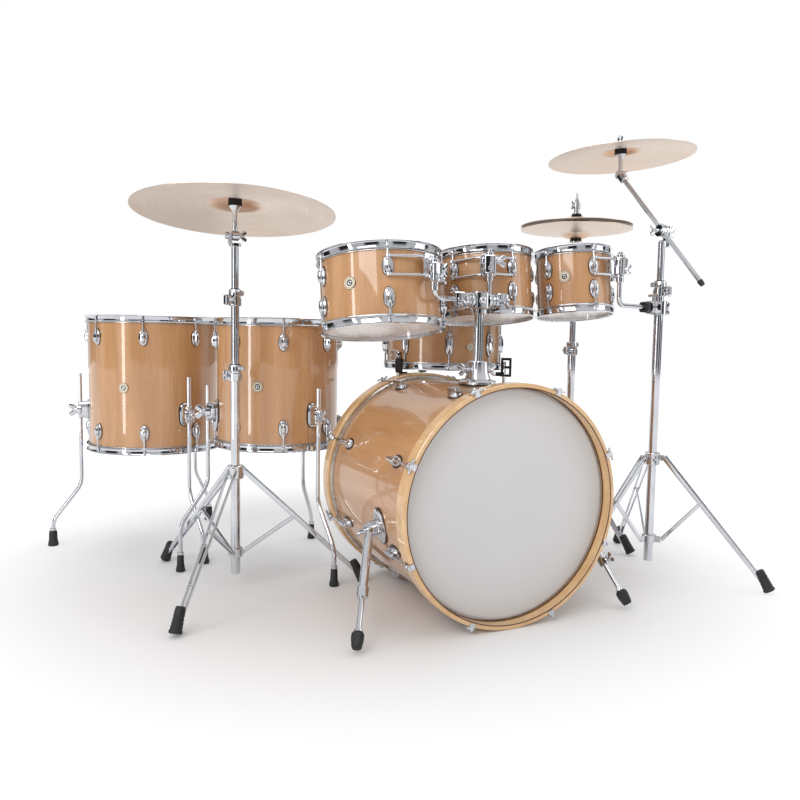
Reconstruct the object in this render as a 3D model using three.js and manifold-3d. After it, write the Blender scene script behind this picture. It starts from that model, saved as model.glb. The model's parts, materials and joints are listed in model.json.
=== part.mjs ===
// Seven-piece acoustic drum kit: bass drum, three rack toms, two floor toms and snare on their own
// hardware, with a ride, a crash and a pair of hi-hat cymbals. Millimetres, +Z up, front towards -Y.
// Plan positions are measured from the floor point under the front edge of the bass drum.
import * as THREE from 'three';
import { mergeVertices } from 'three/addons/utils/BufferGeometryUtils.js';
import Module from 'manifold-3d';

const wasm = await Module();
wasm.setup();

// ---------- driving dimensions ----------
const GAP = 0.3;                 // clearance between pieces that touch
const SHELL_WALL = 7;
const HEAD_FILM = 1;
const HOOP_WIDTH = 9.5;          // how far a metal hoop stands out from its shell
const HOOP_RISE = 13;            // hoop edge above the head
const HOOP_DROP = 14;            // hoop edge below the head
const ROD_SIDE = 5;              // tension rod, drawn square
const LUG = { width: 24, height: 46, depth: 20, root: 6.5 };   // root: how deep a fitting sits in the wall
const LEG_PIVOT = 36;            // folding legs and braces turn this far from their tube's centre
const SIDES = { bass: 24, floorTom: 16, rackTom: 16, snare: 16, cymbal: 20 };   // facets round each
const TUBE = { base: 12.7, middle: 11, upper: 9.5, rod: 6.3 };

const BASS = { shellRadius: 279.4, shellLength: 457, hoopRadius: 295, hoopWall: 12, hoopDepth: 37.6,
  lugs: 8, firstLug: 22.5, lugInset: 75, lugLength: 50, holderY: 190 };
const HEAD_RIM = { radius: 286, length: 12 };
const SPURS = [
  { side: 'left', pivotAngle: 192, foot: [-404, -8, 0] },
  { side: 'right', pivotAngle: -12, foot: [352, -18, 0] },
];
const SPUR_Y = 170;
const SPUR_TIP_LIFT = 3.6;         // a leaning tip stands on its rim, so its middle is above the floor
const HOLDER = { z: 788, depth: 36, knuckleRadius: 17, knuckleInner: 21, knuckleOuter: 80, postBottom: 470 };

const TOMS = [
  { name: 'tom12', at: [-228, 290, 799], tilt: 8.5, shellRadius: 151, depth: 178, lugs: 5, firstLug: -106.4,
    rod: [-167, 117] },
  { name: 'tom10', at: [108, 345, 834], tilt: 6.5, shellRadius: 127, depth: 166, lugs: 5, firstLug: -87.4,
    rod: [28, 190] },
  { name: 'tom8', at: [358, 276, 849], tilt: 7, shellRadius: 101, depth: 165, lugs: 5, firstLug: -96.5,
    rod: [423.6, 159] },
];
const FLOOR_TOMS = [
  { name: 'floor16', at: [-680, 1108, 534], shellRadius: 203, depth: 406, lugs: 8, firstLug: -106,
    rodRadius: 232, footRadius: 322, bracketZ: -90, rodTop: 560, legAngles: [168, -72, 48],
    bendZ: [200, 200, 200] },
  { name: 'floor14', at: [-371, 731, 553], shellRadius: 178, depth: 356, lugs: 8, firstLug: -101,
    rodRadius: 207, footRadius: 287, bracketZ: -85, rodTop: 545, legAngles: [177, -73, 51],
    bendZ: [256, 224, 200] },
];
const SNARE = { name: 'snare', at: [155, 670, 675], shellRadius: 178, depth: 140, lugs: 8, firstLug: -112.3,
  tubeLug: 68, tiltZ: 500, armZ: 540, legAngles: [-50, 70, 190], footRadius: 230,
  collarZ: 250, braceZ: 80, armAngles: [-38, -160, 84], throwOffAngle: 0.2 };

const HIHAT = { at: [572, 547], radius: 177.8, seatZ: 1022, gap: 12, rodTop: 1169, clampZ: 667,
  legAngles: [-52, 68, 188], footRadius: 215, pedalAngle: 128 };
const RIDE = { at: [-541, 545], radius: 265, edgeZ: 1012, tiltZ: 952, normal: [0.045, 0.088, 1],
  footRadius: 352, legAngles: [-14, -125, 114], collarZ: 326, braceZ: 100, clampZ: [592, 792] };
const CRASH = { at: [593, 370], radius: 216, edgeZ: 1246, tiltZ: 1196, normal: [-0.057, 0.027, 1] };
const BOOM = { at: [618, 211], footRadius: 330, legAngles: [-56, 64, 184], collarZ: 352, braceZ: 108,
  tomClampZ: 789, clampZ: 846, ratchetZ: 1010, tailLength: 212 };

// ---------- materials ----------
const finish = (color, roughness, metalness) => new THREE.MeshStandardMaterial({ color, roughness, metalness });
const maple = finish(0xc8946a, 0.15, 0);
const paleMaple = finish(0xd8b483, 0.2, 0);
const chrome = finish(0xd8dadc, 0.12, 1);
const film = finish(0xe2e0de, 0.45, 0);
const bronze = finish(0xcdb09a, 0.3, 1);
const felt = finish(0x161616, 0.9, 0);

// ---------- solids ----------
const V = (x, y, z) => new THREE.Vector3(x, y, z);
const rad = THREE.MathUtils.degToRad;
const around = (radius, degrees, z = 0) =>
  V(radius * Math.cos(rad(degrees)), radius * Math.sin(rad(degrees)), z);

/** One closed mesh with merged corners, no flat triangles and its faces pointing out. */
function closed(geometry) {
  const bare = geometry.clone();
  bare.deleteAttribute('normal');
  bare.deleteAttribute('uv');
  const merged = mergeVertices(bare, 1e-4);
  const p = merged.attributes.position;
  const kept = [];
  let volume = 0;
  for (let i = 0; i < merged.index.count; i += 3) {
    const [a, b, c] = [0, 1, 2].map((k) => merged.index.getX(i + k));
    if (a === b || b === c || c === a) continue;
    kept.push(a, b, c);
    const [va, vb, vc] = [a, b, c].map((k) => new THREE.Vector3().fromBufferAttribute(p, k));
    volume += va.dot(vb.cross(vc));
  }
  if (volume < 0) kept.reverse();
  merged.setIndex(kept);
  return merged;
}

function solid(geometry) {
  const mesh = closed(geometry);
  return new wasm.Manifold(new wasm.Mesh({
    numProp: 3,
    vertProperties: new Float32Array(mesh.attributes.position.array),
    triVerts: new Uint32Array(mesh.index.array),
  }));
}

function geometryOf(manifold) {
  const mesh = manifold.getMesh();
  const geometry = new THREE.BufferGeometry();
  geometry.setAttribute('position', new THREE.BufferAttribute(new Float32Array(mesh.vertProperties), 3));
  geometry.setIndex(new THREE.BufferAttribute(new Uint32Array(mesh.triVerts), 1));
  return geometry;
}

const join = (...pieces) => geometryOf(pieces.map(solid).reduce((sum, piece) => sum.add(piece)));
const cut = (base, ...tools) =>
  geometryOf(tools.map(solid).reduce((rest, tool) => rest.subtract(tool), solid(base)));

/** A profile of [radius, height] corners turned round +Z; a ring's profile closes on itself. */
function turned(profile, segments = 20) {
  const points = profile.map(([r, z]) => new THREE.Vector2(r, z));
  return new THREE.LatheGeometry(points, segments).rotateX(Math.PI / 2);
}

function ring(inner, outer, bottom, top, segments = 20) {
  return turned([[inner, bottom], [outer, bottom], [outer, top], [inner, top], [inner, bottom]], segments);
}

/** Turns a shape that stands on +Z so that it stands on the given direction, then moves it. */
function aimed(geometry, direction, at = V(0, 0, 0)) {
  const turn = new THREE.Quaternion().setFromUnitVectors(V(0, 0, 1), direction.clone().normalize());
  return geometry.clone().applyQuaternion(turn).translate(at.x, at.y, at.z);
}

/** A round bar between two points; the second radius makes it taper. */
function rod(from, to, radius, sides = 8, endRadius = radius) {
  const length = from.distanceTo(to);
  const bar = new THREE.CylinderGeometry(endRadius, radius, length, sides).rotateX(Math.PI / 2);
  return aimed(bar.translate(0, 0, length / 2), to.clone().sub(from), from);
}

function block(width, depth, height, x = 0, y = 0, z = 0) {
  return new THREE.BoxGeometry(width, depth, height).translate(x, y, z);
}

/** A block placed round the Z axis: radial from inner to outer, turned to an angle in degrees. */
function radialBlock(inner, outer, width, bottom, top, degrees) {
  return block(outer - inner, width, top - bottom, (inner + outer) / 2, 0, (bottom + top) / 2)
    .rotateZ(rad(degrees));
}

/** A flat bar between two points, thin sideways and tall in its own plane. */
function strap(from, to, thickness, height) {
  const length = from.distanceTo(to);
  const bar = block(length, thickness, height, length / 2);
  const along = to.clone().sub(from).normalize();
  const side = V(0, 0, 1).cross(along).normalize();
  const basis = new THREE.Matrix4().makeBasis(along, side, along.clone().cross(side));
  return bar.applyMatrix4(basis).translate(from.x, from.y, from.z);
}

/** A bent round bar: straight runs with rounded corners along the points. */
function bentRod(points, radius, corner = 22) {
  const path = new THREE.CurvePath();
  let start = points[0];
  points.slice(1, -1).forEach((point, i) => {
    const before = point.clone().sub(start).normalize();
    const after = points[i + 2].clone().sub(point).normalize();
    const enter = point.clone().addScaledVector(before, -corner);
    const leave = point.clone().addScaledVector(after, corner);
    path.add(new THREE.LineCurve3(start, enter));
    path.add(new THREE.QuadraticBezierCurve3(enter, point, leave));
    start = leave;
  });
  path.add(new THREE.LineCurve3(start, points[points.length - 1]));
  const circle = new THREE.Shape().absarc(0, 0, radius, 0, 2 * Math.PI);
  const steps = 4 * (points.length - 1);
  return new THREE.ExtrudeGeometry(circle, { steps, curveSegments: 3, extrudePath: path, bevelEnabled: false });
}

function addMesh(parent, name, geometry, material) {
  const mesh = new THREE.Mesh(closed(geometry), material);
  mesh.name = name;
  parent.add(mesh);
  return mesh;
}

/** A named group that stands where a joint turns, with shapes inside measured from the kit's origin. */
function pivot(parent, name, point) {
  const joint = new THREE.Group();
  joint.name = name;
  joint.position.copy(point);
  const inside = new THREE.Group();
  inside.position.copy(point).negate();
  joint.add(inside);
  parent.add(joint);
  return inside;
}

const kit = new THREE.Group();
kit.name = 'drum_kit';

// ---------- drums with metal hoops ----------
const lugAngles = (drum) => Array.from({ length: drum.lugs }, (_, k) => drum.firstLug + (360 / drum.lugs) * k);

/** Hoop, head and tension rods of one end, drawn for the top end. */
function hoopAndHead(drum, lugTop, segments) {
  const inner = drum.shellRadius + 0.8;
  const outer = drum.shellRadius + HOOP_WIDTH;
  const edge = drum.depth / 2 + GAP;
  const hoop = turned([[0, edge], [inner, edge], [inner, edge - HOOP_DROP], [outer, edge - HOOP_DROP],
    [outer, edge + HOOP_RISE], [inner, edge + HOOP_RISE], [inner, edge + HEAD_FILM], [0, edge + HEAD_FILM]],
  segments);
  const rods = lugAngles(drum).map((angle) =>
    radialBlock(inner + 1.5, outer + 2.5, ROD_SIDE, lugTop + GAP, edge + HOOP_RISE - 4, angle));
  return join(hoop, ...rods);
}

/** Shell with its lugs, both hoops and both heads, in a group at the drum's centre. */
function drumBody(parent, drum, lugOffset, segments, extras = [], cuts = []) {
  const lugHeight = drum.tubeLug ?? LUG.height;
  const group = new THREE.Group();
  group.position.set(...drum.at);
  group.rotation.x = -rad(drum.tilt ?? 0);
  const half = drum.depth / 2;
  const shell = ring(drum.shellRadius - SHELL_WALL, drum.shellRadius, -half, half, segments);
  const lugZ = drum.tubeLug ? 0 : half - lugOffset;
  const lugCentres = drum.tubeLug ? [0] : [lugZ, -lugZ];
  const lugs = lugAngles(drum).flatMap((angle) => lugCentres.map((z) => radialBlock(drum.shellRadius - LUG.root,
    drum.shellRadius + LUG.depth, LUG.width, z - lugHeight / 2, z + lugHeight / 2, angle)));
  const body = join(shell, ...lugs, ...extras);
  addMesh(group, `${drum.name}_shell`, cuts.length ? cut(body, ...cuts) : body, maple);
  const hoop = hoopAndHead(drum, lugZ + lugHeight / 2, segments);
  addMesh(group, `${drum.name}_batter_hoop`, hoop, chrome);
  const flipped = hoop.clone().scale(1, 1, -1);
  addMesh(group, `${drum.name}_bottom_hoop`, flipped, chrome);
  parent.add(group);
  return group;
}

// ---------- bass drum ----------
const BASS_END = BASS.hoopDepth + 3 * GAP;   // the shell's edge, behind hoop and head
const bassLength = 2 * BASS_END + BASS.shellLength;
const bassAxis = V(0, 0, BASS.hoopRadius);
/** Turns shapes drawn round +Z with z as the distance from the front edge into the bass drum. */
const lying = (geometry) => geometry.clone().rotateX(-Math.PI / 2)
  .translate(0, 0, BASS.hoopRadius);

function bassHoop(front) {
  const hoop = ring(BASS.hoopRadius - BASS.hoopWall, BASS.hoopRadius, 0, BASS.hoopDepth, SIDES.bass);
  const lugFront = BASS_END + BASS.lugInset - BASS.lugLength / 2;
  const claws = lugAngles(BASS).flatMap((angle) => [
    radialBlock(BASS.hoopRadius - 5, BASS.hoopRadius + 9, 26, -3, 32, angle),
    radialBlock(BASS.hoopRadius - 3, BASS.hoopRadius + 3, 6, 30, lugFront - GAP, angle),
  ]);
  const whole = lying(join(hoop, ...claws));
  return front ? whole : whole.rotateZ(Math.PI).translate(0, bassLength, 0);
}

/** Drumhead with its metal rim; the batter head touches its hoop, so the two are one node. */
function bassHead(front, start) {
  const rim = [[0, start], [HEAD_RIM.radius, start], [HEAD_RIM.radius, start + HEAD_RIM.length],
    [BASS.shellRadius + GAP, start + HEAD_RIM.length], [BASS.shellRadius + GAP, start + GAP],
    [0, start + GAP]];
  const whole = lying(turned(rim, SIDES.bass));
  return front ? whole : whole.rotateZ(Math.PI).translate(0, bassLength, 0);
}

function bassShell() {
  const shell = ring(BASS.shellRadius - SHELL_WALL, BASS.shellRadius, BASS_END, bassLength - BASS_END,
    SIDES.bass);
  const centres = [BASS_END + BASS.lugInset, bassLength - BASS_END - BASS.lugInset];
  const halfLug = BASS.lugLength / 2;
  const lugs = lugAngles(BASS).flatMap((angle) => centres.map((y) =>
    radialBlock(BASS.shellRadius - 4, BASS.hoopRadius + 6, 26, y - halfLug, y + halfLug, angle)));
  const whole = lying(join(shell, ...lugs));
  const holderHole = rod(V(0, BASS.holderY, 480), V(0, BASS.holderY, 640), TUBE.base + 1, 12);
  return cut(whole, holderHole);
}

const bass = new THREE.Group();
addMesh(bass, 'bass_shell', bassShell(), maple);
addMesh(bass, 'bass_front_hoop', bassHoop(true), paleMaple);
addMesh(bass, 'bass_front_head', bassHead(true, BASS.hoopDepth + GAP), film);
addMesh(bass, 'bass_batter_hoop', join(bassHoop(false), bassHead(false, BASS.hoopDepth - 0.1)), paleMaple);
kit.add(bass);

/** Folding leg that stops the bass drum from sliding: hinge boss, tube, thinner rod and rubber tip. */
function spur({ side, pivotAngle, foot }) {
  const out = around(1, pivotAngle);
  const outward = V(out.x, 0, out.y);
  const hub = bassAxis.clone().addScaledVector(outward, BASS.shellRadius + 1.5).setY(SPUR_Y);
  const knuckle = hub.clone().addScaledVector(outward, 28);
  const tip = V(...foot);
  const down = tip.clone().sub(knuckle).normalize();
  const joint = pivot(kit, `${side}_spur_hinge`, knuckle);
  const sleeve = knuckle.clone().addScaledVector(down, 165);
  const footTop = tip.clone().addScaledVector(down, -52);
  addMesh(joint, `bass_spur_${side}`, join(
    rod(hub, knuckle.clone().addScaledVector(outward, 8), 19, 10),
    rod(knuckle, sleeve, 10.5),
    rod(sleeve.clone().addScaledVector(down, -20), footTop, TUBE.rod),
    rod(footTop.clone().addScaledVector(down, -2), tip.clone().addScaledVector(down, -16), 14, 8),
    rod(tip.clone().addScaledVector(down, -18), tip.clone().setZ(SPUR_TIP_LIFT), 14, 8, 5),
  ), chrome);
}
SPURS.forEach(spur);

// ---------- double tom holder ----------
function holderBase() {
  const y = BASS.holderY;
  const top = BASS.hoopRadius + BASS.shellRadius;
  const plate = block(78, 96, 40, 0, y, top);
  const body = join(plate, rod(V(0, y, top), V(0, y, top + 58), 22, 12), block(96, 16, 16, 0, y, top + 36));
  const underShell = lying(turned([[0, 0], [BASS.shellRadius + 0.6, 0],
    [BASS.shellRadius + 0.6, bassLength], [0, bassLength]], 48));
  return cut(body, underShell, rod(V(0, y, 480), V(0, y, 700), TUBE.base + 0.6, 12));
}
addMesh(kit, 'tom_holder_base', holderBase(), chrome);

const holderTop = V(0, BASS.holderY, HOLDER.z);
const post = pivot(kit, 'tom_post_slide', V(0, BASS.holderY, BASS.hoopRadius + BASS.shellRadius));
addMesh(post, 'tom_holder_post', join(
  rod(V(0, BASS.holderY, HOLDER.postBottom), V(0, BASS.holderY, HOLDER.z - 10), TUBE.base, 12),
  block(2 * HOLDER.knuckleInner - 2 * GAP, HOLDER.depth, 44, 0, BASS.holderY, HOLDER.z),
), chrome);

const BRACKET_Z = 46;            // middle of a tom's bracket above the middle of its shell
const ROD_END = BRACKET_Z + 38;

/** Bracket on a tom: plate on the shell, arm and sleeve with a bore for the vertical rod. */
function tomBracket(tom) {
  const offset = V(tom.rod[0] - tom.at[0], tom.rod[1] - tom.at[1], 0);
  const angle = THREE.MathUtils.radToDeg(Math.atan2(offset.y, offset.x));
  const reach = offset.length();
  const lean = V(0, -Math.sin(rad(tom.tilt)), Math.cos(rad(tom.tilt)));
  const centre = around(reach, angle, 0).applyAxisAngle(V(1, 0, 0), rad(tom.tilt));
  const onRod = (z) => centre.clone().addScaledVector(lean, z);
  const extras = [
    radialBlock(tom.shellRadius - LUG.root, reach - 3, 34, BRACKET_Z - 22, BRACKET_Z + 22, angle),
    rod(onRod(BRACKET_Z - 28), onRod(BRACKET_Z + 28), 15, 8),
  ];
  const bore = rod(onRod(-90), onRod(130), TUBE.rod + 1.6, 10);
  return { extras, bore };
}

/** Vertical rod that a tom hangs on, with the tom's own bracket round it left clear. */
function tomArmRod(tom, foot) {
  const [x, y] = tom.rod;
  return foot ? bentRod([foot, V(x, y, HOLDER.z), V(x, y, tom.at[2] + ROD_END)], TUBE.rod)
    : rod(V(x, y, HOLDER.z), V(x, y, tom.at[2] + ROD_END), TUBE.rod);
}

const TOM_LUG_OFFSET = 52;
function rackTom(parent, tom) {
  const { extras, bore } = tomBracket(tom);
  return drumBody(parent, tom, TOM_LUG_OFFSET, SIDES.rackTom, extras, [bore]);
}

const knuckle = (side) => rod(V(side * HOLDER.knuckleInner, BASS.holderY, HOLDER.z),
  V(side * HOLDER.knuckleOuter, BASS.holderY, HOLDER.z), HOLDER.knuckleRadius, 12);
const [tom12, tom10, tom8] = TOMS;
[[tom12, -1, V(-70, BASS.holderY, HOLDER.z)], [tom10, 1, null]].forEach(([tom, side, foot]) => {
  const tilt = pivot(post, `${tom.name}_tilt_hinge`, holderTop.clone().setX(side * 50));
  addMesh(tilt, `${tom.name}_arm`, join(knuckle(side), tomArmRod(tom, foot)), chrome);
  const swivel = pivot(tilt, `${tom.name}_swivel_hinge`, V(...tom.rod, tom.at[2]));
  rackTom(swivel, tom);
});

// ---------- floor toms ----------
const FLOOR_LUG_OFFSET = 58;
function floorTom(drum) {
  const brackets = drum.legAngles.map((angle) =>
    radialBlock(drum.shellRadius - LUG.root, drum.rodRadius + 14, 30, drum.bracketZ - 32, drum.bracketZ + 32, angle));
  const bores = drum.legAngles.map((angle) =>
    rod(around(drum.rodRadius, angle, -400), around(drum.rodRadius, angle, 400), TUBE.rod + 0.7, 8));
  drumBody(kit, drum, FLOOR_LUG_OFFSET, SIDES.floorTom, brackets, bores);
  const centre = V(drum.at[0], drum.at[1], 0);
  drum.legAngles.forEach((angle, k) => {
    const on = (radius, z) => around(radius, angle, z).add(centre);
    const joint = pivot(kit, `${drum.name}_leg_${k + 1}_slide`, on(drum.rodRadius, drum.at[2] + drum.bracketZ));
    addMesh(joint, `${drum.name}_leg_${k + 1}`, join(
      bentRod([on(drum.rodRadius, drum.rodTop), on(drum.rodRadius, drum.bendZ[k]),
        on(drum.footRadius, drum.bendZ[k] - 120), on(drum.footRadius, 30)], TUBE.rod, 18),
      rod(on(drum.footRadius, 52), on(drum.footRadius, 0), 11, 8, 16),
    ), chrome);
  });
}
FLOOR_TOMS.forEach(floorTom);

// ---------- tripods ----------
const FOOT = { radius: 16, length: 62, lift: 8, lean: 30 };

/** Rubber foot of a stand leg: it leans with the leg and stands on its outer rim. */
function rubberFoot(centre, angle, footRadius) {
  const bottom = around(footRadius, angle, FOOT.lift).add(centre);
  const top = around(footRadius - FOOT.lean, angle, FOOT.lift + FOOT.length - 8).add(centre);
  return rod(bottom, top, FOOT.radius, 8, FOOT.radius - 4);
}

/** Rigid tripod: tube, leg collar, brace collar, three legs, three braces and rubber feet. */
function rigidTripod(at, spec, tubeTop) {
  const centre = V(...at, 0);
  const on = (radius, angle, z) => around(radius, angle, z).add(centre);
  const pieces = [rod(on(0, 0, 40), on(0, 0, tubeTop), TUBE.base, 10),
    rod(on(0, 0, spec.collarZ - 22), on(0, 0, spec.collarZ + 14), 22, 8),
    rod(on(0, 0, spec.braceZ - 12), on(0, 0, spec.braceZ + 12), 20, 8)];
  spec.legAngles.forEach((angle) => {
    const top = on(16, angle, spec.collarZ);
    const foot = on(spec.footRadius - 24, angle, 36);
    const middle = top.clone().lerp(foot, 0.42);
    pieces.push(strap(top, foot, 22, 8), strap(on(14, angle, spec.braceZ), middle, 14, 6),
      rubberFoot(centre, angle, spec.footRadius));
  });
  return join(...pieces);
}

// ---------- ride cymbal stand ----------
const rideCentre = V(...RIDE.at, 0);
const ride = new THREE.Group();
kit.add(ride);
const onRide = (radius, angle, z) => around(radius, angle, z).add(rideCentre);

addMesh(ride, 'ride_stand', cut(join(rigidTripod(RIDE.at, RIDE, RIDE.clampZ[0]),
  rod(onRide(0, 0, RIDE.clampZ[0] - 30), onRide(0, 0, RIDE.clampZ[0] + 28), 19, 10)),
rod(onRide(0, 0, 380), onRide(0, 0, 700), TUBE.middle + 0.5, 12)), chrome);

const rideMiddle = pivot(ride, 'ride_middle_slide', onRide(0, 0, RIDE.clampZ[0]));
addMesh(rideMiddle, 'ride_middle_tube', cut(join(
  rod(onRide(0, 0, 420), onRide(0, 0, RIDE.clampZ[1]), TUBE.middle, 12),
  rod(onRide(0, 0, RIDE.clampZ[1] - 25), onRide(0, 0, RIDE.clampZ[1] + 24), 17, 10),
), rod(onRide(0, 0, 600), onRide(0, 0, 900), TUBE.upper - 1.5, 12)), chrome);
const rideUpper = pivot(rideMiddle, 'ride_upper_slide', onRide(0, 0, RIDE.clampZ[1]));
addMesh(rideUpper, 'ride_upper_tube', join(
  rod(onRide(0, 0, 640), onRide(0, 0, RIDE.tiltZ - 21), TUBE.upper - 2, 12),
  block(7, 26, 30, RIDE.at[0] - 12, RIDE.at[1], RIDE.tiltZ - 8),
  block(30, 26, 8, RIDE.at[0], RIDE.at[1], RIDE.tiltZ - 24),
), chrome);

// ---------- cymbals ----------
/** Bowed plate with a raised bell; the edge lies at z = 0 and the hole is on the axis. */
function cymbalProfile(radius, bow, bellRadius, bellHeight, thickness = 1.6) {
  const top = [];
  const bellPoints = 2;
  for (let i = 0; i <= bellPoints; i += 1) {
    const t = i / bellPoints;
    const r = 6 + (bellRadius - 6) * t;
    top.push([r, bow + bellHeight * Math.cos((Math.PI / 2) * t ** 1.5)]);
  }
  const bowPoints = 2;
  for (let i = 1; i <= bowPoints; i += 1) {
    const t = i / bowPoints;
    top.push([bellRadius + (radius - bellRadius) * t, bow * (1 - t ** 1.5)]);
  }
  const under = top.map(([r, z]) => [r, z - thickness]).reverse();
  return [...top, ...under, top[0]];
}

function cymbal(spec, bow, bellRadius, bellHeight, segments) {
  const plate = turned(cymbalProfile(spec.radius, bow, bellRadius, bellHeight), segments);
  return aimed(plate, V(...spec.normal), V(...spec.at, spec.edgeZ));
}

/** Tilter of a cymbal: hinge block, threaded rod, felts and wing nut along the cymbal's axis. */
function tilter(spec, holeZ) {
  const up = V(...spec.normal).normalize();
  const base = V(...spec.at, spec.edgeZ);
  const along = (distance) => base.clone().addScaledVector(up, distance);
  return [
    rod(V(...spec.at, spec.tiltZ), along(-4), 4, 8),
    rod(along(-12), along(holeZ - 4), 11, 8, 14),
    rod(along(-2), along(holeZ + 26), 3.6, 6),
    rod(along(holeZ + 4), along(holeZ + 14), 11, 8),
    rod(along(holeZ + 12), along(holeZ + 30), 5, 6),
  ];
}

const RIDE_SHAPE = { bow: 22, bellRadius: 66, bellHeight: 17 };
const CRASH_SHAPE = { bow: 18, bellRadius: 52, bellHeight: 14 };
const rideTilt = pivot(rideUpper, 'ride_tilt_hinge', onRide(0, 0, RIDE.tiltZ));
addMesh(rideTilt, 'ride_tilter', join(
  rod(V(RIDE.at[0] - 8, RIDE.at[1], RIDE.tiltZ), V(RIDE.at[0] + 10, RIDE.at[1], RIDE.tiltZ), 11, 10),
  ...tilter(RIDE, RIDE_SHAPE.bow + RIDE_SHAPE.bellHeight),
), chrome);
const rideSpin = pivot(rideTilt, 'ride_spin_axis', V(...RIDE.at, RIDE.edgeZ));
addMesh(rideSpin, 'ride_cymbal', cymbal(RIDE, RIDE_SHAPE.bow, RIDE_SHAPE.bellRadius,
  RIDE_SHAPE.bellHeight, SIDES.cymbal), bronze);

// ---------- boom stand with the crash cymbal and the small tom ----------
const boomAt = (z) => V(...BOOM.at, z);
const onBoom = (radius, angle, z) => around(radius, angle, z).add(boomAt(0));
addMesh(kit, 'boom_base_tube', cut(join(
  rod(boomAt(40), boomAt(BOOM.clampZ), TUBE.base, 12),
  rod(boomAt(BOOM.clampZ - 22), boomAt(BOOM.clampZ + 20), 18, 10),
  rod(boomAt(BOOM.braceZ - 12), boomAt(BOOM.braceZ + 12), 20, 10),
  ...BOOM.legAngles.map((angle) =>
    strap(onBoom(14, angle, BOOM.braceZ), onBoom(LEG_PIVOT - 6, angle, BOOM.braceZ), 7, 18)),
), rod(boomAt(560), boomAt(960), TUBE.upper + 0.5, 12)), chrome);

const collarSlide = pivot(kit, 'boom_collar_slide', boomAt(BOOM.collarZ));
addMesh(collarSlide, 'boom_leg_collar', join(
  ring(TUBE.base + 0.6, 22, -22, 14, 12).translate(...boomAt(BOOM.collarZ).toArray()),
  ...BOOM.legAngles.map((angle) =>
    strap(onBoom(19, angle, BOOM.collarZ), onBoom(LEG_PIVOT - 4, angle, BOOM.collarZ), 7, 16)),
), chrome);

/** Folding leg of two bars side by side, and the brace that runs up between them. */
function boomLeg(angle, k) {
  const top = onBoom(LEG_PIVOT, angle, BOOM.collarZ);
  const low = onBoom(LEG_PIVOT, angle, BOOM.braceZ);
  const foot = onBoom(BOOM.footRadius - 24, angle, 36);
  const middle = top.clone().lerp(foot, (BOOM.collarZ - BOOM.braceZ) / 2 / (BOOM.collarZ - 36));
  const side = around(1, angle + 90);
  const down = foot.clone().sub(top).normalize();
  const bars = [-8.5, 8.5].map((shift) => strap(top.clone().addScaledVector(side, shift),
    foot.clone().addScaledVector(side, shift), 5, 12));
  const pin = (at) => rod(at.clone().addScaledVector(side, -9), at.clone().addScaledVector(side, 9), 2, 6);
  const legHinge = pivot(collarSlide, `boom_leg_${k + 1}_hinge`, top);
  addMesh(legHinge, `boom_leg_${k + 1}`, join(...bars, pin(top.clone().addScaledVector(down, 2)), pin(middle),
    block(30, 22, 14).rotateZ(rad(angle)).translate(foot.x, foot.y, foot.z),
    rubberFoot(boomAt(0), angle, BOOM.footRadius)), chrome);
  const rise = middle.clone().sub(low).normalize();
  const braceHinge = pivot(kit, `boom_brace_${k + 1}_hinge`, low);
  addMesh(braceHinge, `boom_brace_${k + 1}`,
    strap(low.clone().addScaledVector(rise, -4), middle.clone().addScaledVector(rise, -7), 7, 8), chrome);
}
BOOM.legAngles.forEach(boomLeg);
const boomUpper = pivot(kit, 'boom_upper_slide', boomAt(BOOM.clampZ));
addMesh(boomUpper, 'boom_upper_tube', join(
  rod(boomAt(620), boomAt(BOOM.ratchetZ - 30), TUBE.upper, 12),
  block(22, 8, 22, BOOM.at[0] + 9, BOOM.at[1], BOOM.ratchetZ - 35),
  block(7, 26, 60, BOOM.at[0] + 17, BOOM.at[1], BOOM.ratchetZ - 16),
), chrome);
const ratchet = boomAt(BOOM.ratchetZ);
const boomTilt = pivot(boomUpper, 'boom_tilt_hinge', ratchet);
const armTop = V(...CRASH.at, CRASH.tiltZ);
const armAlong = armTop.clone().sub(ratchet).normalize();
addMesh(boomTilt, 'boom_arm', join(
  rod(ratchet.clone().addScaledVector(armAlong, -BOOM.tailLength), armTop, TUBE.rod + 0.4, 8),
  rod(ratchet.clone().addScaledVector(V(1, 0, 0), -14), ratchet.clone().addScaledVector(V(1, 0, 0), 12), 16, 12),
  rod(armTop.clone().add(V(-12, 0, 0)), armTop.clone().add(V(12, 0, 0)), 12, 10),
  ...tilter(CRASH, CRASH_SHAPE.bow + CRASH_SHAPE.bellHeight),
), chrome);
const crashSpin = pivot(boomTilt, 'crash_spin_axis', V(...CRASH.at, CRASH.edgeZ));
addMesh(crashSpin, 'crash_cymbal', cymbal(CRASH, CRASH_SHAPE.bow, CRASH_SHAPE.bellRadius,
  CRASH_SHAPE.bellHeight, SIDES.cymbal), bronze);

const tomClampSwing = pivot(kit, 'tom8_swing_hinge', boomAt(BOOM.tomClampZ));
const armStart = V(...tom8.rod, BOOM.tomClampZ);
const armHeading = armStart.clone().sub(boomAt(BOOM.tomClampZ)).normalize();
const onArm = (distance) => boomAt(BOOM.tomClampZ).addScaledVector(armHeading, distance);
const armBore = rod(onArm(20), onArm(120), TUBE.rod + 0.7, 8);
addMesh(tomClampSwing, 'tom8_clamp', cut(join(
  ring(TUBE.base + 0.6, 22, -20, 20, 12).translate(...boomAt(BOOM.tomClampZ).toArray()),
  rod(onArm(18), onArm(82), 17, 10),
), armBore), chrome);
const tom8Tilt = pivot(tomClampSwing, 'tom8_tilt_hinge', onArm(60));
addMesh(tom8Tilt, 'tom8_arm', bentRod([onArm(34), armStart, V(...tom8.rod, tom8.at[2] + ROD_END)], TUBE.rod), chrome);
const tom8Swivel = pivot(tom8Tilt, 'tom8_swivel_hinge', V(...tom8.rod, tom8.at[2]));
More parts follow.
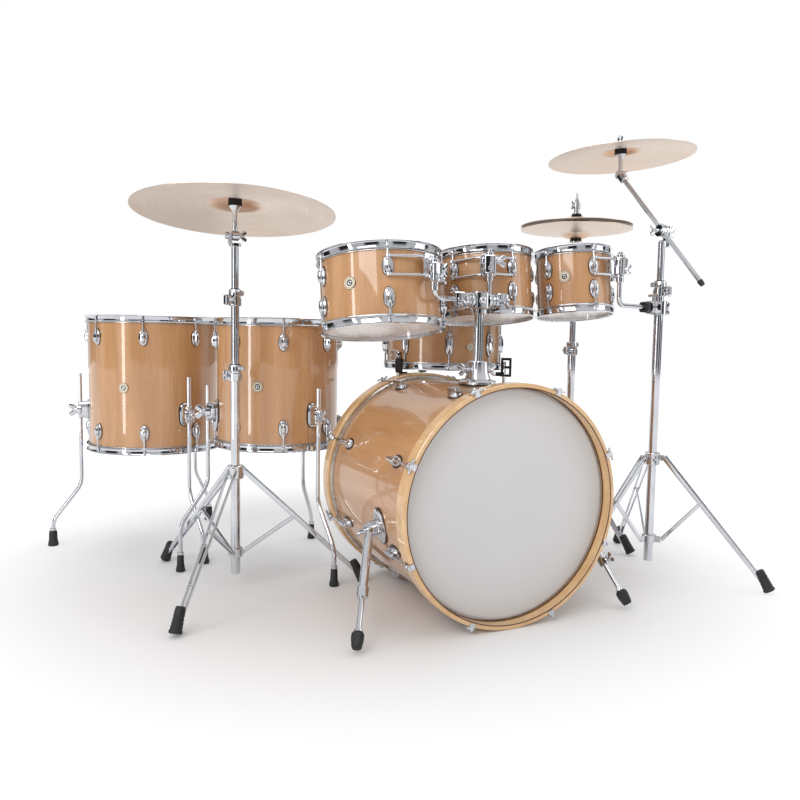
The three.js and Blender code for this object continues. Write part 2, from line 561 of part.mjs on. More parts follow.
rackTom(tom8Swivel, tom8);

// ---------- snare drum on its stand ----------
const snareCentre = V(SNARE.at[0], SNARE.at[1], 0);
const onSnare = (radius, angle, z) => around(radius, angle, z).add(snareCentre);
addMesh(kit, 'snare_stand', join(
  rigidTripod(SNARE.at.slice(0, 2), SNARE, SNARE.tiltZ - 30),
  block(7, 30, 34, SNARE.at[0] - 18, SNARE.at[1], SNARE.tiltZ - 15),
  block(44, 30, 8, SNARE.at[0] - 2, SNARE.at[1], SNARE.tiltZ - 30),
), chrome);
const basketTilt = pivot(kit, 'snare_tilt_hinge', onSnare(0, 0, SNARE.tiltZ));
const GRIP_RADIUS = SNARE.shellRadius + 20;
const snareBottom = SNARE.at[2] - SNARE.depth / 2 - HOOP_RISE - 2 * GAP;
const basketArm = (angle) => [
  strap(onSnare(0, 0, SNARE.armZ), onSnare(GRIP_RADIUS, angle, SNARE.armZ), 10, 12),
  radialBlock(GRIP_RADIUS - 5, GRIP_RADIUS + 5, 20, SNARE.armZ - 6, snareBottom + 36, angle).translate(
    ...snareCentre.toArray()),
  radialBlock(GRIP_RADIUS - 34, GRIP_RADIUS + 4, 20, snareBottom - 14, snareBottom - GAP, angle).translate(
    ...snareCentre.toArray()),
];
addMesh(basketTilt, 'snare_basket', join(
  rod(onSnare(0, 0, SNARE.tiltZ).add(V(-14, 0, 0)), onSnare(0, 0, SNARE.tiltZ).add(V(14, 0, 0)), 13, 10),
  rod(onSnare(0, 0, SNARE.tiltZ), onSnare(0, 0, SNARE.armZ), 9, 8),
  ...SNARE.armAngles.flatMap(basketArm),
), chrome);

const throwOffBase = radialBlock(SNARE.shellRadius - LUG.root, SNARE.shellRadius + 16, 30, -36, 36,
  SNARE.throwOffAngle);
drumBody(basketTilt, SNARE, 0, SIDES.snare, [throwOffBase]);
const leverRadius = SNARE.shellRadius + 24;
const leverFoot = around(leverRadius, SNARE.throwOffAngle, -30).add(V(...SNARE.at));
const leverJoint = pivot(basketTilt, 'throw_off_hinge', leverFoot);
addMesh(leverJoint, 'snare_throw_off', join(
  radialBlock(leverRadius - 4, leverRadius + 4, 22, -34, 44, SNARE.throwOffAngle).translate(...SNARE.at),
  radialBlock(leverRadius - 4, leverRadius + 14, 22, 38, 46, SNARE.throwOffAngle).translate(...SNARE.at),
), chrome);

// ---------- hi-hat ----------
const hihatAt = (z) => V(...HIHAT.at, z);
const onHihat = (radius, angle, z) => around(radius, angle, z).add(V(...HIHAT.at, 0));
const HEEL = { radius: 300, z: 14 };
const hihatFrame = [-1, 1].map((side) => {
  const across = around(34 * side, HIHAT.pedalAngle + 90);
  return strap(onHihat(7, HIHAT.pedalAngle, 44).add(around(8 * side, HIHAT.pedalAngle + 90)),
    onHihat(HEEL.radius - 12, HIHAT.pedalAngle, 8).add(across), 6, 6);
});
addMesh(kit, 'hihat_stand', cut(join(
  rigidTripod(HIHAT.at, { ...HIHAT, collarZ: 300, braceZ: 90 }, HIHAT.clampZ),
  rod(hihatAt(HIHAT.clampZ - 24), hihatAt(HIHAT.clampZ + 22), 18, 10),
  rod(hihatAt(HIHAT.clampZ), hihatAt(HIHAT.seatZ - 12), TUBE.upper, 10),
  rod(hihatAt(HIHAT.seatZ - 22), hihatAt(HIHAT.seatZ - GAP), 20, 12, 22),
  ...hihatFrame,
  radialBlock(HEEL.radius - 20, HEEL.radius + 26, 84, 0, 8, HIHAT.pedalAngle).translate(...hihatAt(0)),
), rod(hihatAt(HIHAT.clampZ + 60), hihatAt(1100), 5.2, 8)), chrome);

const rodSlide = pivot(kit, 'hihat_rod_slide', hihatAt(HIHAT.clampZ));
const HAT_RISE = 29;             // edge to bell top of a hi-hat cymbal
const bellTop = HIHAT.seatZ + 2 * HAT_RISE + HIHAT.gap;
addMesh(rodSlide, 'hihat_rod', join(
  rod(hihatAt(HIHAT.clampZ + 90), hihatAt(HIHAT.rodTop), 3.4, 6),
  rod(hihatAt(bellTop + 0.6), hihatAt(bellTop + 22), 13, 10),
  rod(hihatAt(bellTop + 20), hihatAt(bellTop + 60), 9, 10),
), chrome);
const hatShape = cymbalProfile(HIHAT.radius, 14, 54, 15);
const hatAt = (profile, z) => turned(profile, SIDES.cymbal).translate(...hihatAt(z).toArray());
addMesh(rodSlide, 'hihat_top_cymbal', hatAt(hatShape, bellTop - HAT_RISE), bronze);
const bellDown = hatShape.map(([r, z]) => [r, -z]);
addMesh(kit, 'hihat_bottom_cymbal', hatAt(bellDown, HIHAT.seatZ + HAT_RISE), bronze);

const heelJoint = pivot(kit, 'hihat_pedal_hinge', onHihat(HEEL.radius, HIHAT.pedalAngle, HEEL.z));
const toe = onHihat(36, HIHAT.pedalAngle, 84);
addMesh(heelJoint, 'hihat_pedal',
  strap(onHihat(HEEL.radius, HIHAT.pedalAngle, HEEL.z + 2), toe, 78, 8), chrome);

// ---------- origin: middle of the footprint, on the floor ----------
kit.updateMatrixWorld(true);
const box = new THREE.Box3().setFromObject(kit, true);
const centre = box.getCenter(new THREE.Vector3());
kit.position.set(-centre.x, -centre.y, -box.min.z);
kit.updateMatrixWorld(true);

export default kit;
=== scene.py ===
# Seven-piece acoustic drum kit in lacquered maple, with chromed stands and bronze cymbals.
import json

import bmesh
import bpy
import numpy as np
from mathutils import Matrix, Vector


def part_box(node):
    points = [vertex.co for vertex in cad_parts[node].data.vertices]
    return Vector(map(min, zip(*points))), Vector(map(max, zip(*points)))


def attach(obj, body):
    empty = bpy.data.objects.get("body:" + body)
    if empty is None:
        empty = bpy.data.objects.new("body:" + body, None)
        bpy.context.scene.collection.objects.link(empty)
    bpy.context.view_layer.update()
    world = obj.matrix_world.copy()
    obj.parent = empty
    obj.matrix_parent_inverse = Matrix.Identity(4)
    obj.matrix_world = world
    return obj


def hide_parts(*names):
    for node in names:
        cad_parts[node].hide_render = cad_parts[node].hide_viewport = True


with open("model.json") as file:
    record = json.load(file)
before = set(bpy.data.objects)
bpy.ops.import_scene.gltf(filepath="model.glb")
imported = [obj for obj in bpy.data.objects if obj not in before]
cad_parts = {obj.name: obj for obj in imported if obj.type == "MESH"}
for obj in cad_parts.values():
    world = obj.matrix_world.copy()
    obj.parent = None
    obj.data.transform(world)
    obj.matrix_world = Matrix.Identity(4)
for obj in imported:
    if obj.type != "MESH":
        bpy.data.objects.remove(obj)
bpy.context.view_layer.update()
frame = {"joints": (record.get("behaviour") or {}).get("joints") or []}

# ---------- camera ----------
# A standing viewer's view from the front left, a little above the bass drum, level with the toms.
MM = 1000.0
CLAW_STAND_OUT = 3.0
hoop_low, hoop_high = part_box("bass_front_hoop")
ZERO = np.array([(hoop_low.x + hoop_high.x) / 2, hoop_low.y + CLAW_STAND_OUT / MM, 0.0])
CAMERA_AT = np.array([-981.0, -1452.5, 688.1])
CAMERA_HEADING, CAMERA_PITCH, CAMERA_ROLL = np.radians([24.934, 4.695, -0.921])

ahead = np.array([np.sin(CAMERA_HEADING) * np.cos(CAMERA_PITCH),
                  np.cos(CAMERA_HEADING) * np.cos(CAMERA_PITCH), -np.sin(CAMERA_PITCH)])
level_right = np.array([np.cos(CAMERA_HEADING), -np.sin(CAMERA_HEADING), 0.0])
right = level_right * np.cos(CAMERA_ROLL) - np.cross(level_right, ahead) * np.sin(CAMERA_ROLL)
camera_matrix = np.eye(4)
camera_matrix[:3, 0] = right
camera_matrix[:3, 1] = np.cross(right, ahead)
camera_matrix[:3, 2] = -ahead
camera_matrix[:3, 3] = ZERO + CAMERA_AT / MM
camera_data = bpy.data.cameras.new("camera")
camera_data.lens = 33.52
camera_data.sensor_width = 36.0
camera = bpy.data.objects.new("camera", camera_data)
camera.matrix_world = camera_matrix.T.tolist()
bpy.context.scene.collection.objects.link(camera)
bpy.context.scene.camera = camera
bpy.context.scene.view_settings.view_transform = "Standard"

# ---------- studio ----------
# A white studio cove: a pale matt floor, a large key softbox on the left, a fill on the right and
# one narrow strip light, whose upright reflection runs down the lacquer of every shell.


def srgb(*levels):
    """Linear colour of an sRGB triple given in 0 to 255."""
    level = np.array(levels) / 255.0
    linear = np.where(level < 0.04045, level / 12.92, ((level + 0.055) / 1.055) ** 2.4)
    return (*linear.tolist(), 1.0)


def blank_material(name):
    """A new node material with its Principled shader and a texture coordinate node."""
    material = bpy.data.materials.new(name)
    material.use_nodes = True
    nodes = material.node_tree.nodes
    place = nodes.new("ShaderNodeTexCoord")
    return material, nodes, material.node_tree.links, nodes["Principled BSDF"], place.outputs["Object"]


def shader_group(name, inputs, outputs):
    """An empty node group with float, colour or vector sockets; returns it with its two end nodes."""
    group = bpy.data.node_groups.new(name, "ShaderNodeTree")
    for label, kind in inputs:
        group.interface.new_socket(label, in_out="INPUT", socket_type=kind)
    for label, kind in outputs:
        group.interface.new_socket(label, in_out="OUTPUT", socket_type=kind)
    return group, group.nodes.new("NodeGroupInput"), group.nodes.new("NodeGroupOutput")


FLOAT, VECTOR = "NodeSocketFloat", "NodeSocketVector"


def make_uneven():
    """Noise of a given scale, spread between a low and a high value."""
    group, start, end = shader_group("uneven", [("Vector", VECTOR), ("Scale", FLOAT), ("Low", FLOAT),
                                                ("High", FLOAT)], [("Value", FLOAT)])
    noise = group.nodes.new("ShaderNodeTexNoise")
    noise.inputs["Detail"].default_value = 4.0
    spread = group.nodes.new("ShaderNodeMapRange")
    spread.inputs["From Min"].default_value = 0.3
    spread.inputs["From Max"].default_value = 0.7
    link = group.links.new
    link(start.outputs["Vector"], noise.inputs["Vector"])
    link(start.outputs["Scale"], noise.inputs["Scale"])
    link(noise.outputs["Fac"], spread.inputs["Value"])
    link(start.outputs["Low"], spread.inputs["To Min"])
    link(start.outputs["High"], spread.inputs["To Max"])
    link(spread.outputs["Result"], end.inputs["Value"])
    return group


UNEVEN = make_uneven()


def add_uneven(nodes, links, vector, scale, low, high):
    """Places the uneven group in a material and returns its value."""
    node = nodes.new("ShaderNodeGroup")
    node.node_tree = UNEVEN
    links.new(vector, node.inputs["Vector"])
    for label, value in (("Scale", scale), ("Low", low), ("High", high)):
        node.inputs[label].default_value = value
    return node.outputs["Value"]


def add_bump(nodes, links, height, strength, distance):
    """A bump node fed by a height."""
    bump = nodes.new("ShaderNodeBump")
    bump.inputs["Strength"].default_value = strength
    bump.inputs["Distance"].default_value = distance
    links.new(height, bump.inputs["Height"])
    return bump.outputs["Normal"]


def coated(name, dark, light, scale, roughness, metallic=0.0, bump=0.0, bump_scale=600.0, bump_depth=0.0002):
    """A finish whose colour drifts between two tones, with uneven roughness and a fine surface relief."""
    material, nodes, links, shader, vector = blank_material(name)
    tone = nodes.new("ShaderNodeMix")
    tone.data_type = "RGBA"
    tone.inputs["A"].default_value = dark
    tone.inputs["B"].default_value = light
    links.new(add_uneven(nodes, links, vector, scale, 0.0, 1.0), tone.inputs["Factor"])
    links.new(tone.outputs["Result"], shader.inputs["Base Color"])
    links.new(add_uneven(nodes, links, vector, scale * 3.1, *roughness), shader.inputs["Roughness"])
    shader.inputs["Metallic"].default_value = metallic
    if bump:
        height = add_uneven(nodes, links, vector, bump_scale, 0.0, 1.0)
        links.new(add_bump(nodes, links, height, bump, bump_depth), shader.inputs["Normal"])
    return material


floor_mesh = bpy.data.meshes.new("studio_floor")
FLOOR_HALF = 14.0
floor_mesh.from_pydata([(x * FLOOR_HALF, y * FLOOR_HALF, 0.0) for x, y in ((-1, -1), (1, -1), (1, 1), (-1, 1))],
                       [], [(0, 1, 2, 3)])
floor = bpy.data.objects.new("studio_floor", floor_mesh)
bpy.context.scene.collection.objects.link(floor)


def fading_floor():
    paint = coated("floor_paint", (0.80, 0.80, 0.805, 1), (0.83, 0.83, 0.835, 1), 0.6, (0.6, 0.7))
    nodes, link = paint.node_tree.nodes, paint.node_tree.links.new
    place = nodes.new("ShaderNodeTexCoord")
    reach = nodes.new("ShaderNodeVectorMath")
    reach.operation = "LENGTH"
    link(place.outputs["Object"], reach.inputs[0])
    fade = nodes.new("ShaderNodeMapRange")
    fade.interpolation_type = "SMOOTHSTEP"
    for label, value in (("From Min", 0.6), ("From Max", 1.5)):
        fade.inputs[label].default_value = value
    link(reach.outputs["Value"], fade.inputs["Value"])
    white = nodes.new("ShaderNodeEmission")
    white.inputs["Strength"].default_value = 1.1
    blend = nodes.new("ShaderNodeMixShader")
    link(fade.outputs["Result"], blend.inputs["Fac"])
    link(nodes["Principled BSDF"].outputs["BSDF"], blend.inputs[1])
    link(white.outputs["Emission"], blend.inputs[2])
    link(blend.outputs["Shader"], nodes["Material Output"].inputs["Surface"])
    return paint


floor_mesh.materials.append(fading_floor())


def softbox(name, at, towards, width, height, watts):
    """A rectangular lamp at a point, facing another; both in metres."""
    data = bpy.data.lights.new(name, "AREA")
    data.shape = "RECTANGLE"
    data.size, data.size_y, data.energy = width, height, watts
    lamp = bpy.data.objects.new(name, data)
    back = np.array(at, float) - np.array(towards, float)
    back /= np.linalg.norm(back)
    side = np.cross((0, 0, 1), back)
    side /= np.linalg.norm(side)
    matrix = np.eye(4)
    matrix[:3, 0], matrix[:3, 1], matrix[:3, 2], matrix[:3, 3] = side, np.cross(back, side), back, at
    lamp.matrix_world = matrix.T.tolist()
    bpy.context.scene.collection.objects.link(lamp)


softbox("key_softbox", (-2.6, -2.6, 2.7), (0.0, 0.0, 0.5), 2.2, 1.6, 50)
softbox("fill_softbox", (3.2, -2.4, 1.9), (0.1, 0.0, 0.6), 1.6, 2.2, 18)
softbox("strip_light", (-3.3, -1.1, 1.1), (0.0, 0.0, 0.7), 0.30, 2.4, 20)
softbox("top_softbox", (0.3, 0.4, 3.4), (0.1, 0.0, 0.0), 3.0, 2.4, 38)


def make_world():
    """White to the eye; gloss sees a studio with a bright ceiling, grey walls and dark upright gaps."""
    world = bpy.data.worlds.new("studio")
    world.use_nodes = True
    nodes, link = world.node_tree.nodes, world.node_tree.links.new
    plain = nodes["Background"]
    plain.inputs["Color"].default_value = (1.0, 1.0, 1.0, 1.0)
    plain.inputs["Strength"].default_value = 0.66
    white = nodes.new("ShaderNodeBackground")
    white.inputs["Color"].default_value = (1.0, 1.0, 1.0, 1.0)
    walls = nodes.new("ShaderNodeBackground")
    direction = nodes.new("ShaderNodeTexCoord")
    split = nodes.new("ShaderNodeSeparateXYZ")
    link(direction.outputs["Generated"], split.inputs["Vector"])
    turn = nodes.new("ShaderNodeMath")
    turn.operation = "ARCTAN2"
    link(split.outputs["Y"], turn.inputs[0])
    link(split.outputs["X"], turn.inputs[1])
    wave = nodes.new("ShaderNodeMath")
    wave.operation = "MULTIPLY_ADD"
    link(turn.outputs["Value"], wave.inputs[0])
    wave.inputs[1].default_value = 7.0
    wave.inputs[2].default_value = 1.3
    swing = nodes.new("ShaderNodeMath")
    swing.operation = "SINE"
    link(wave.outputs["Value"], swing.inputs[0])
    gaps = nodes.new("ShaderNodeMapRange")
    gaps.interpolation_type = "SMOOTHSTEP"
    for label, value in (("From Min", -0.35), ("From Max", 0.45), ("To Min", 0.025), ("To Max", 0.80)):
        gaps.inputs[label].default_value = value
    link(swing.outputs["Value"], gaps.inputs["Value"])
    ceiling = nodes.new("ShaderNodeMapRange")
    ceiling.interpolation_type = "SMOOTHSTEP"
    for label, value in (("From Min", 0.12), ("From Max", 0.5), ("To Min", 0.0), ("To Max", 1.0)):
        ceiling.inputs[label].default_value = value
    link(split.outputs["Z"], ceiling.inputs["Value"])
    level = nodes.new("ShaderNodeMix")
    link(ceiling.outputs["Result"], level.inputs["Factor"])
    link(gaps.outputs["Result"], level.inputs["A"])
    level.inputs["B"].default_value = 1.0
    link(level.outputs["Result"], walls.inputs["Strength"])
    path = nodes.new("ShaderNodeLightPath")
    gloss_or_not = nodes.new("ShaderNodeMixShader")
    link(path.outputs["Is Glossy Ray"], gloss_or_not.inputs["Fac"])
    link(plain.outputs["Background"], gloss_or_not.inputs[1])
    link(walls.outputs["Background"], gloss_or_not.inputs[2])
    eye_or_not = nodes.new("ShaderNodeMixShader")
    link(path.outputs["Is Camera Ray"], eye_or_not.inputs["Fac"])
    link(gloss_or_not.outputs["Shader"], eye_or_not.inputs[1])
    link(white.outputs["Background"], eye_or_not.inputs[2])
    link(eye_or_not.outputs["Shader"], nodes["World Output"].inputs["Surface"])
    bpy.context.scene.world = world


make_world()

# ---------- bass drum: shell and hoops ----------
# A lacquered maple shell of plies, 22 inches across and 18 deep, lying on its side. At each end a head is
# held by a solid maple hoop, and each head's aluminium rim shows as a pale line between hoop and shell.


def stand(at, up=(0, 0, 1), toward=(1, 0, 0)):
    """Matrix of a place: its z axis points up, its x axis leans toward the given direction."""
    z = np.array(up, float)
    z /= np.linalg.norm(z)
    x = np.array(toward, float)
    x -= z * (x @ z)
    if np.linalg.norm(x) < 1e-6:
        x = np.cross((0, 1, 0), z)
    x /= np.linalg.norm(x)
    matrix = np.eye(4)
    matrix[:3, 0], matrix[:3, 1], matrix[:3, 2], matrix[:3, 3] = x, np.cross(z, x), z, at
    return matrix


def skin(points, matrix=None):
    """A grid of points, its columns closed on themselves: quads join row i to i + 1 and column j to j + 1."""
    rows, columns = points.shape[:2]
    index = np.arange(rows * columns).reshape(rows, columns)
    beside = np.roll(index, -1, 1)
    quads = np.stack([index[:-1], beside[:-1], beside[1:], index[1:]], -1).reshape(-1, 4)
    flat = points.reshape(-1, 3)
    if matrix is not None:
        flat = flat @ matrix[:3, :3].T + matrix[:3, 3]
    return flat, quads


def turned(profile, matrix=None, sides=96):
    """Surface of revolution: each corner (radius, height) goes round z once in equal steps."""
    radius, height = np.array(profile, float).T
    angle = np.linspace(0, 2 * np.pi, sides, endpoint=False)
    circle = np.stack([np.cos(angle), np.sin(angle)], -1)
    points = np.concatenate([radius[:, None, None] * circle[None],
                             np.broadcast_to(height[:, None, None], (len(radius), sides, 1))], -1)
    return skin(points, matrix)


def ring(inner, outer, bottom, top, matrix=None, sides=96, edge=0.8):
    """A turned ring with a small bevel on its four edges."""
    corners = [(inner, bottom + edge), (inner + edge, bottom), (outer - edge, bottom), (outer, bottom + edge),
               (outer, top - edge), (outer - edge, top), (inner + edge, top), (inner, top - edge),
               (inner, bottom + edge)]
    return turned(corners, matrix, sides)


def piece(name, surfaces, material, body, stands_for=(), sharp=32):
    """Joins surfaces into one object: doubles merged, faces turned out, edges over the angle kept sharp."""
    counts = np.cumsum([0] + [len(points) for points, _ in surfaces[:-1]])
    points = np.concatenate([points for points, _ in surfaces]) / MM + ZERO
    quads = np.concatenate([quads + count for (_, quads), count in zip(surfaces, counts)])
    mesh = bpy.data.meshes.new(name)
    mesh.from_pydata(points.tolist(), [], quads.tolist())
    shaped = bmesh.new()
    shaped.from_mesh(mesh)
    bmesh.ops.remove_doubles(shaped, verts=shaped.verts, dist=2e-6)
    bmesh.ops.recalc_face_normals(shaped, faces=shaped.faces)
    shaped.to_mesh(mesh)
    shaped.free()
    mesh.shade_smooth()
    mesh.set_sharp_from_angle(angle=np.radians(sharp))
    mesh.materials.append(material)
    made = bpy.data.objects.new(name, mesh)
    bpy.context.scene.collection.objects.link(made)
    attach(made, body)
    if stands_for:
        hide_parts(*stands_for)
    return made


def lacquered_maple(name, dark, light, stretch, tint_scale=5.0):
    """Maple under clear lacquer: long grain streaks, fine pores along them, and a slow drift of tone."""
    material, nodes, links, shader, vector = blank_material(name)
    along = nodes.new("ShaderNodeMapping")
    along.inputs["Scale"].default_value = stretch
    links.new(vector, along.inputs["Vector"])
    streaks = nodes.new("ShaderNodeTexNoise")
    for label, value in (("Scale", 26.0), ("Detail", 8.0), ("Roughness", 0.62), ("Distortion", 0.25)):
        streaks.inputs[label].default_value = value
    links.new(along.outputs["Vector"], streaks.inputs["Vector"])
    ramp = nodes.new("ShaderNodeValToRGB")
    ramp.color_ramp.elements[0].position = 0.30
    ramp.color_ramp.elements[0].color = dark
    ramp.color_ramp.elements[1].position = 0.66
    ramp.color_ramp.elements[1].color = light
    links.new(streaks.outputs["Fac"], ramp.inputs["Fac"])
    drift = nodes.new("ShaderNodeMix")
    drift.data_type = "RGBA"
    drift.blend_type = "MULTIPLY"
    drift.inputs["B"].default_value = (0.96, 0.93, 0.89, 1.0)
    links.new(add_uneven(nodes, links, vector, tint_scale, 0.0, 1.0), drift.inputs["Factor"])
    links.new(ramp.outputs["Color"], drift.inputs["A"])
    pores = add_uneven(nodes, links, along.outputs["Vector"], 240.0, 0.0, 1.0)
    flecks = nodes.new("ShaderNodeMix")
    flecks.data_type = "RGBA"
    flecks.blend_type = "MULTIPLY"
    flecks.inputs["B"].default_value = (0.93, 0.90, 0.86, 1.0)
    links.new(pores, flecks.inputs["Factor"])
    links.new(drift.outputs["Result"], flecks.inputs["A"])
    links.new(flecks.outputs["Result"], shader.inputs["Base Color"])
    links.new(add_uneven(nodes, links, vector, 9.0, 0.30, 0.42), shader.inputs["Roughness"])
    links.new(add_bump(nodes, links, pores, 0.12, 0.0002), shader.inputs["Normal"])
    shader.inputs["Coat Weight"].default_value = 1.0
    shader.inputs["Coat Roughness"].default_value = 0.035
    shader.inputs["Coat IOR"].default_value = 1.55
    return material


SHELL_DARK, SHELL_LIGHT = srgb(180, 131, 87), srgb(200, 153, 106)
upright_maple = lacquered_maple("upright_maple_lacquer", SHELL_DARK, SHELL_LIGHT, (1.0, 1.0, 0.10))
lying_maple = lacquered_maple("lying_maple_lacquer", srgb(180, 131, 87), srgb(198, 150, 104), (1.0, 0.10, 1.0))
pale_maple = lacquered_maple("pale_maple_lacquer", srgb(206, 162, 112), srgb(226, 190, 142), (0.6, 1.0, 0.6))
# Dark brown painted shadow: the shade in the gaps at the bass hoops' inner edge and beside the film.
painted_shadow_line = coated("painted_shadow_edge", srgb(74, 44, 26), srgb(98, 60, 36), 60.0, (0.3, 0.45))
head_film = coated("satin_drumhead_film", srgb(201, 200, 200), srgb(206, 205, 205), 3.0, (0.38, 0.5), bump=0.05)
clear_film = coated("clear_drumhead_film", srgb(228, 226, 224), srgb(236, 234, 232), 4.0, (0.22, 0.32),
    bump=0.03)
satin_metal = coated("satin_aluminium_rim", srgb(196, 192, 188), srgb(214, 210, 206), 30.0, (0.22, 0.34), 1.0,
                     bump=0.05, bump_scale=900.0)


def plated(name, dark, light, roughness):
    """Bright plating: mirror metal with faint smears in its polish and the slightest ripple."""
    return coated(name, dark, light, 18.0, roughness, 1.0, bump=0.025, bump_scale=70.0, bump_depth=0.0003)


chrome = plated("chrome_plate", srgb(196, 198, 203), srgb(214, 216, 221), (0.03, 0.08))
black_rubber = coated("moulded_black_rubber", srgb(18, 18, 19), srgb(34, 34, 35), 40.0, (0.5, 0.68), bump=0.25)
black_felt = coated("pressed_black_felt", srgb(14, 14, 14), srgb(34, 33, 33), 160.0, (0.85, 0.98), bump=0.7,
                    bump_depth=0.0006)
black_plastic = coated("black_gasket_plastic", srgb(16, 16, 17), srgb(28, 28, 30), 50.0, (0.3, 0.42), bump=0.1)

BASS_RADIUS, BASS_HOOP_RADIUS, BASS_HOOP_WALL, BASS_HOOP_DEPTH, BASS_LENGTH = 279.4, 295.0, 12.0, 37.6, 534.0
FILM_SETBACK = 32.0
bass_front = stand((0, 0, BASS_HOOP_RADIUS), (0, 1, 0))
bass_back = stand((0, BASS_LENGTH, BASS_HOOP_RADIUS), (0, -1, 0))
wall_start = BASS_HOOP_DEPTH + 0.9
piece("bass_shell_wood", [ring(BASS_RADIUS - 7, BASS_RADIUS, wall_start, BASS_LENGTH - wall_start, bass_front,
    160)],
      lying_maple, "base", ["bass_shell"])


def bass_end(side, place, film_node, hoop_node):
    """Wooden hoop with two dark rings of painted shadow (at its inner front edge and beside the film), aluminium
    rim and film of one end.
    """
    hoop_inner = BASS_HOOP_RADIUS - BASS_HOOP_WALL
    piece(f"bass_{side}_hoop_wood", [ring(hoop_inner, BASS_HOOP_RADIUS, 0, BASS_HOOP_DEPTH, place, 160, 2.2)],
          pale_maple, "base", [hoop_node])
    # Painted shadow: a dark ring at the hoop's inner front edge and another just in front of the film.
    piece(f"bass_{side}_hoop_painted_shadow", [ring(hoop_inner - 0.5, hoop_inner + 1.9, -0.2, 1.4, place, 160, 0.3),
                                     ring(hoop_inner - 1.4, hoop_inner + 0.3, 27.5, 31.6, place, 160, 0.3)],
          painted_shadow_line, "base")
    rim = [(BASS_RADIUS + 0.4, 50), (BASS_RADIUS + 6.4, 50), (BASS_RADIUS + 8.4, 46), (BASS_RADIUS + 8.4, 39.5),
           (BASS_RADIUS + 5, 37.8), (BASS_RADIUS + 0.4, 38.6), (BASS_RADIUS + 0.4, 50)]
    piece(f"bass_{side}_head_rim", [turned(rim, place, 160)], satin_metal, "base")
    edge = BASS_RADIUS + 2.6
    film = [(0, FILM_SETBACK), (edge - 9, FILM_SETBACK), (edge - 4, FILM_SETBACK + 0.9),
        (edge - 1, FILM_SETBACK + 3),
            (edge, 40), (edge - 0.6, 40), (edge - 5, FILM_SETBACK + 2), (edge - 10, FILM_SETBACK + 0.8),
            (0, FILM_SETBACK + 0.8)]
    piece(f"bass_{side}_head_film", [turned(film, place, 160)], head_film, "base", film_node)


bass_end("front", bass_front, ["bass_front_head"], "bass_front_hoop")
bass_end("batter", bass_back, (), "bass_batter_hoop")

# ---------- bass drum: lugs, claws and key rods ----------
# Eight small cast lugs near each end, each on a black gasket. A long threaded rod runs from a hooked claw
# over the hoop into its lug; the rods at the foot have folding T handles, the others square key heads.


def carried(rows, matrix=None, power=2.0, sides=24):
    """A superellipse |x/a|^p + |y/b|^p = 1 carried up z; each row gives its a, its b and its height."""
    half_x, half_y, height = np.array(rows, float).T
    angle = np.linspace(0, 2 * np.pi, sides, endpoint=False) + np.pi / sides
    bend = 2.0 / power
    outline = np.stack([np.sign(np.cos(angle)) * np.abs(np.cos(angle)) ** bend,
                        np.sign(np.sin(angle)) * np.abs(np.sin(angle)) ** bend], -1)
    plan = outline[None] * np.stack([half_x, half_y], -1)[:, None, :]
    lift = np.broadcast_to(height[:, None, None], (len(height), sides, 1))
    return skin(np.concatenate([plan, lift], -1), matrix)


def block(width, depth, height, matrix=None, edge=1.2, power=9.0, sides=24):
    """A rounded box centred on its place: a squarish outline with bevelled ends."""
    a, b, top = width / 2, depth / 2, height / 2
    return carried([(0, 0, -top), (a - edge, b - edge, -top), (a, b, -top + edge), (a, b, top - edge),
                    (a - edge, b - edge, top), (0, 0, top)], matrix, power, sides)


def dome(width, depth, height, matrix=None, power=2.0, fullness=2.3, sides=28, steps=7):
    """An oval casting: the outline shrinks by (1 - t^f)^(1/f) as it rises to its full height."""
    t = np.linspace(0, 1, steps)
    scale = (1 - t ** fullness) ** (1 / fullness)
    rows = [(0, 0, 0), *zip(width / 2 * scale, depth / 2 * scale, height * t)]
    return carried(rows, matrix, power, sides)


def bar(start, end, radius, end_radius=None, sides=16, edge=0.6):
    """A straight round bar between two points, with bevelled ends; a second radius makes it taper."""
    start, end = np.array(start, float), np.array(end, float)
    length = np.linalg.norm(end - start)
    last = radius if end_radius is None else end_radius
    rows = [(0, 0), (radius - edge, 0), (radius, edge), (last, length - edge), (last - edge, length),
        (0, length)]
    return turned(rows, stand(start, end - start), sides)


def polar(radius, degrees, height=0.0):
    """A point at a radius and an angle round z."""
    return np.array([radius * np.cos(np.radians(degrees)), radius * np.sin(np.radians(degrees)), height])


def on_wall(place, radius, degrees, height):
    """A place on a drum's wall: z points outwards and x points along the drum's axis."""
    out = polar(1, degrees)
    return place @ stand(polar(radius, degrees, height), out, (0, 0, 1))


def within(place, point):
    return place[:3, :3] @ np.array(point, float) + place[:3, 3]


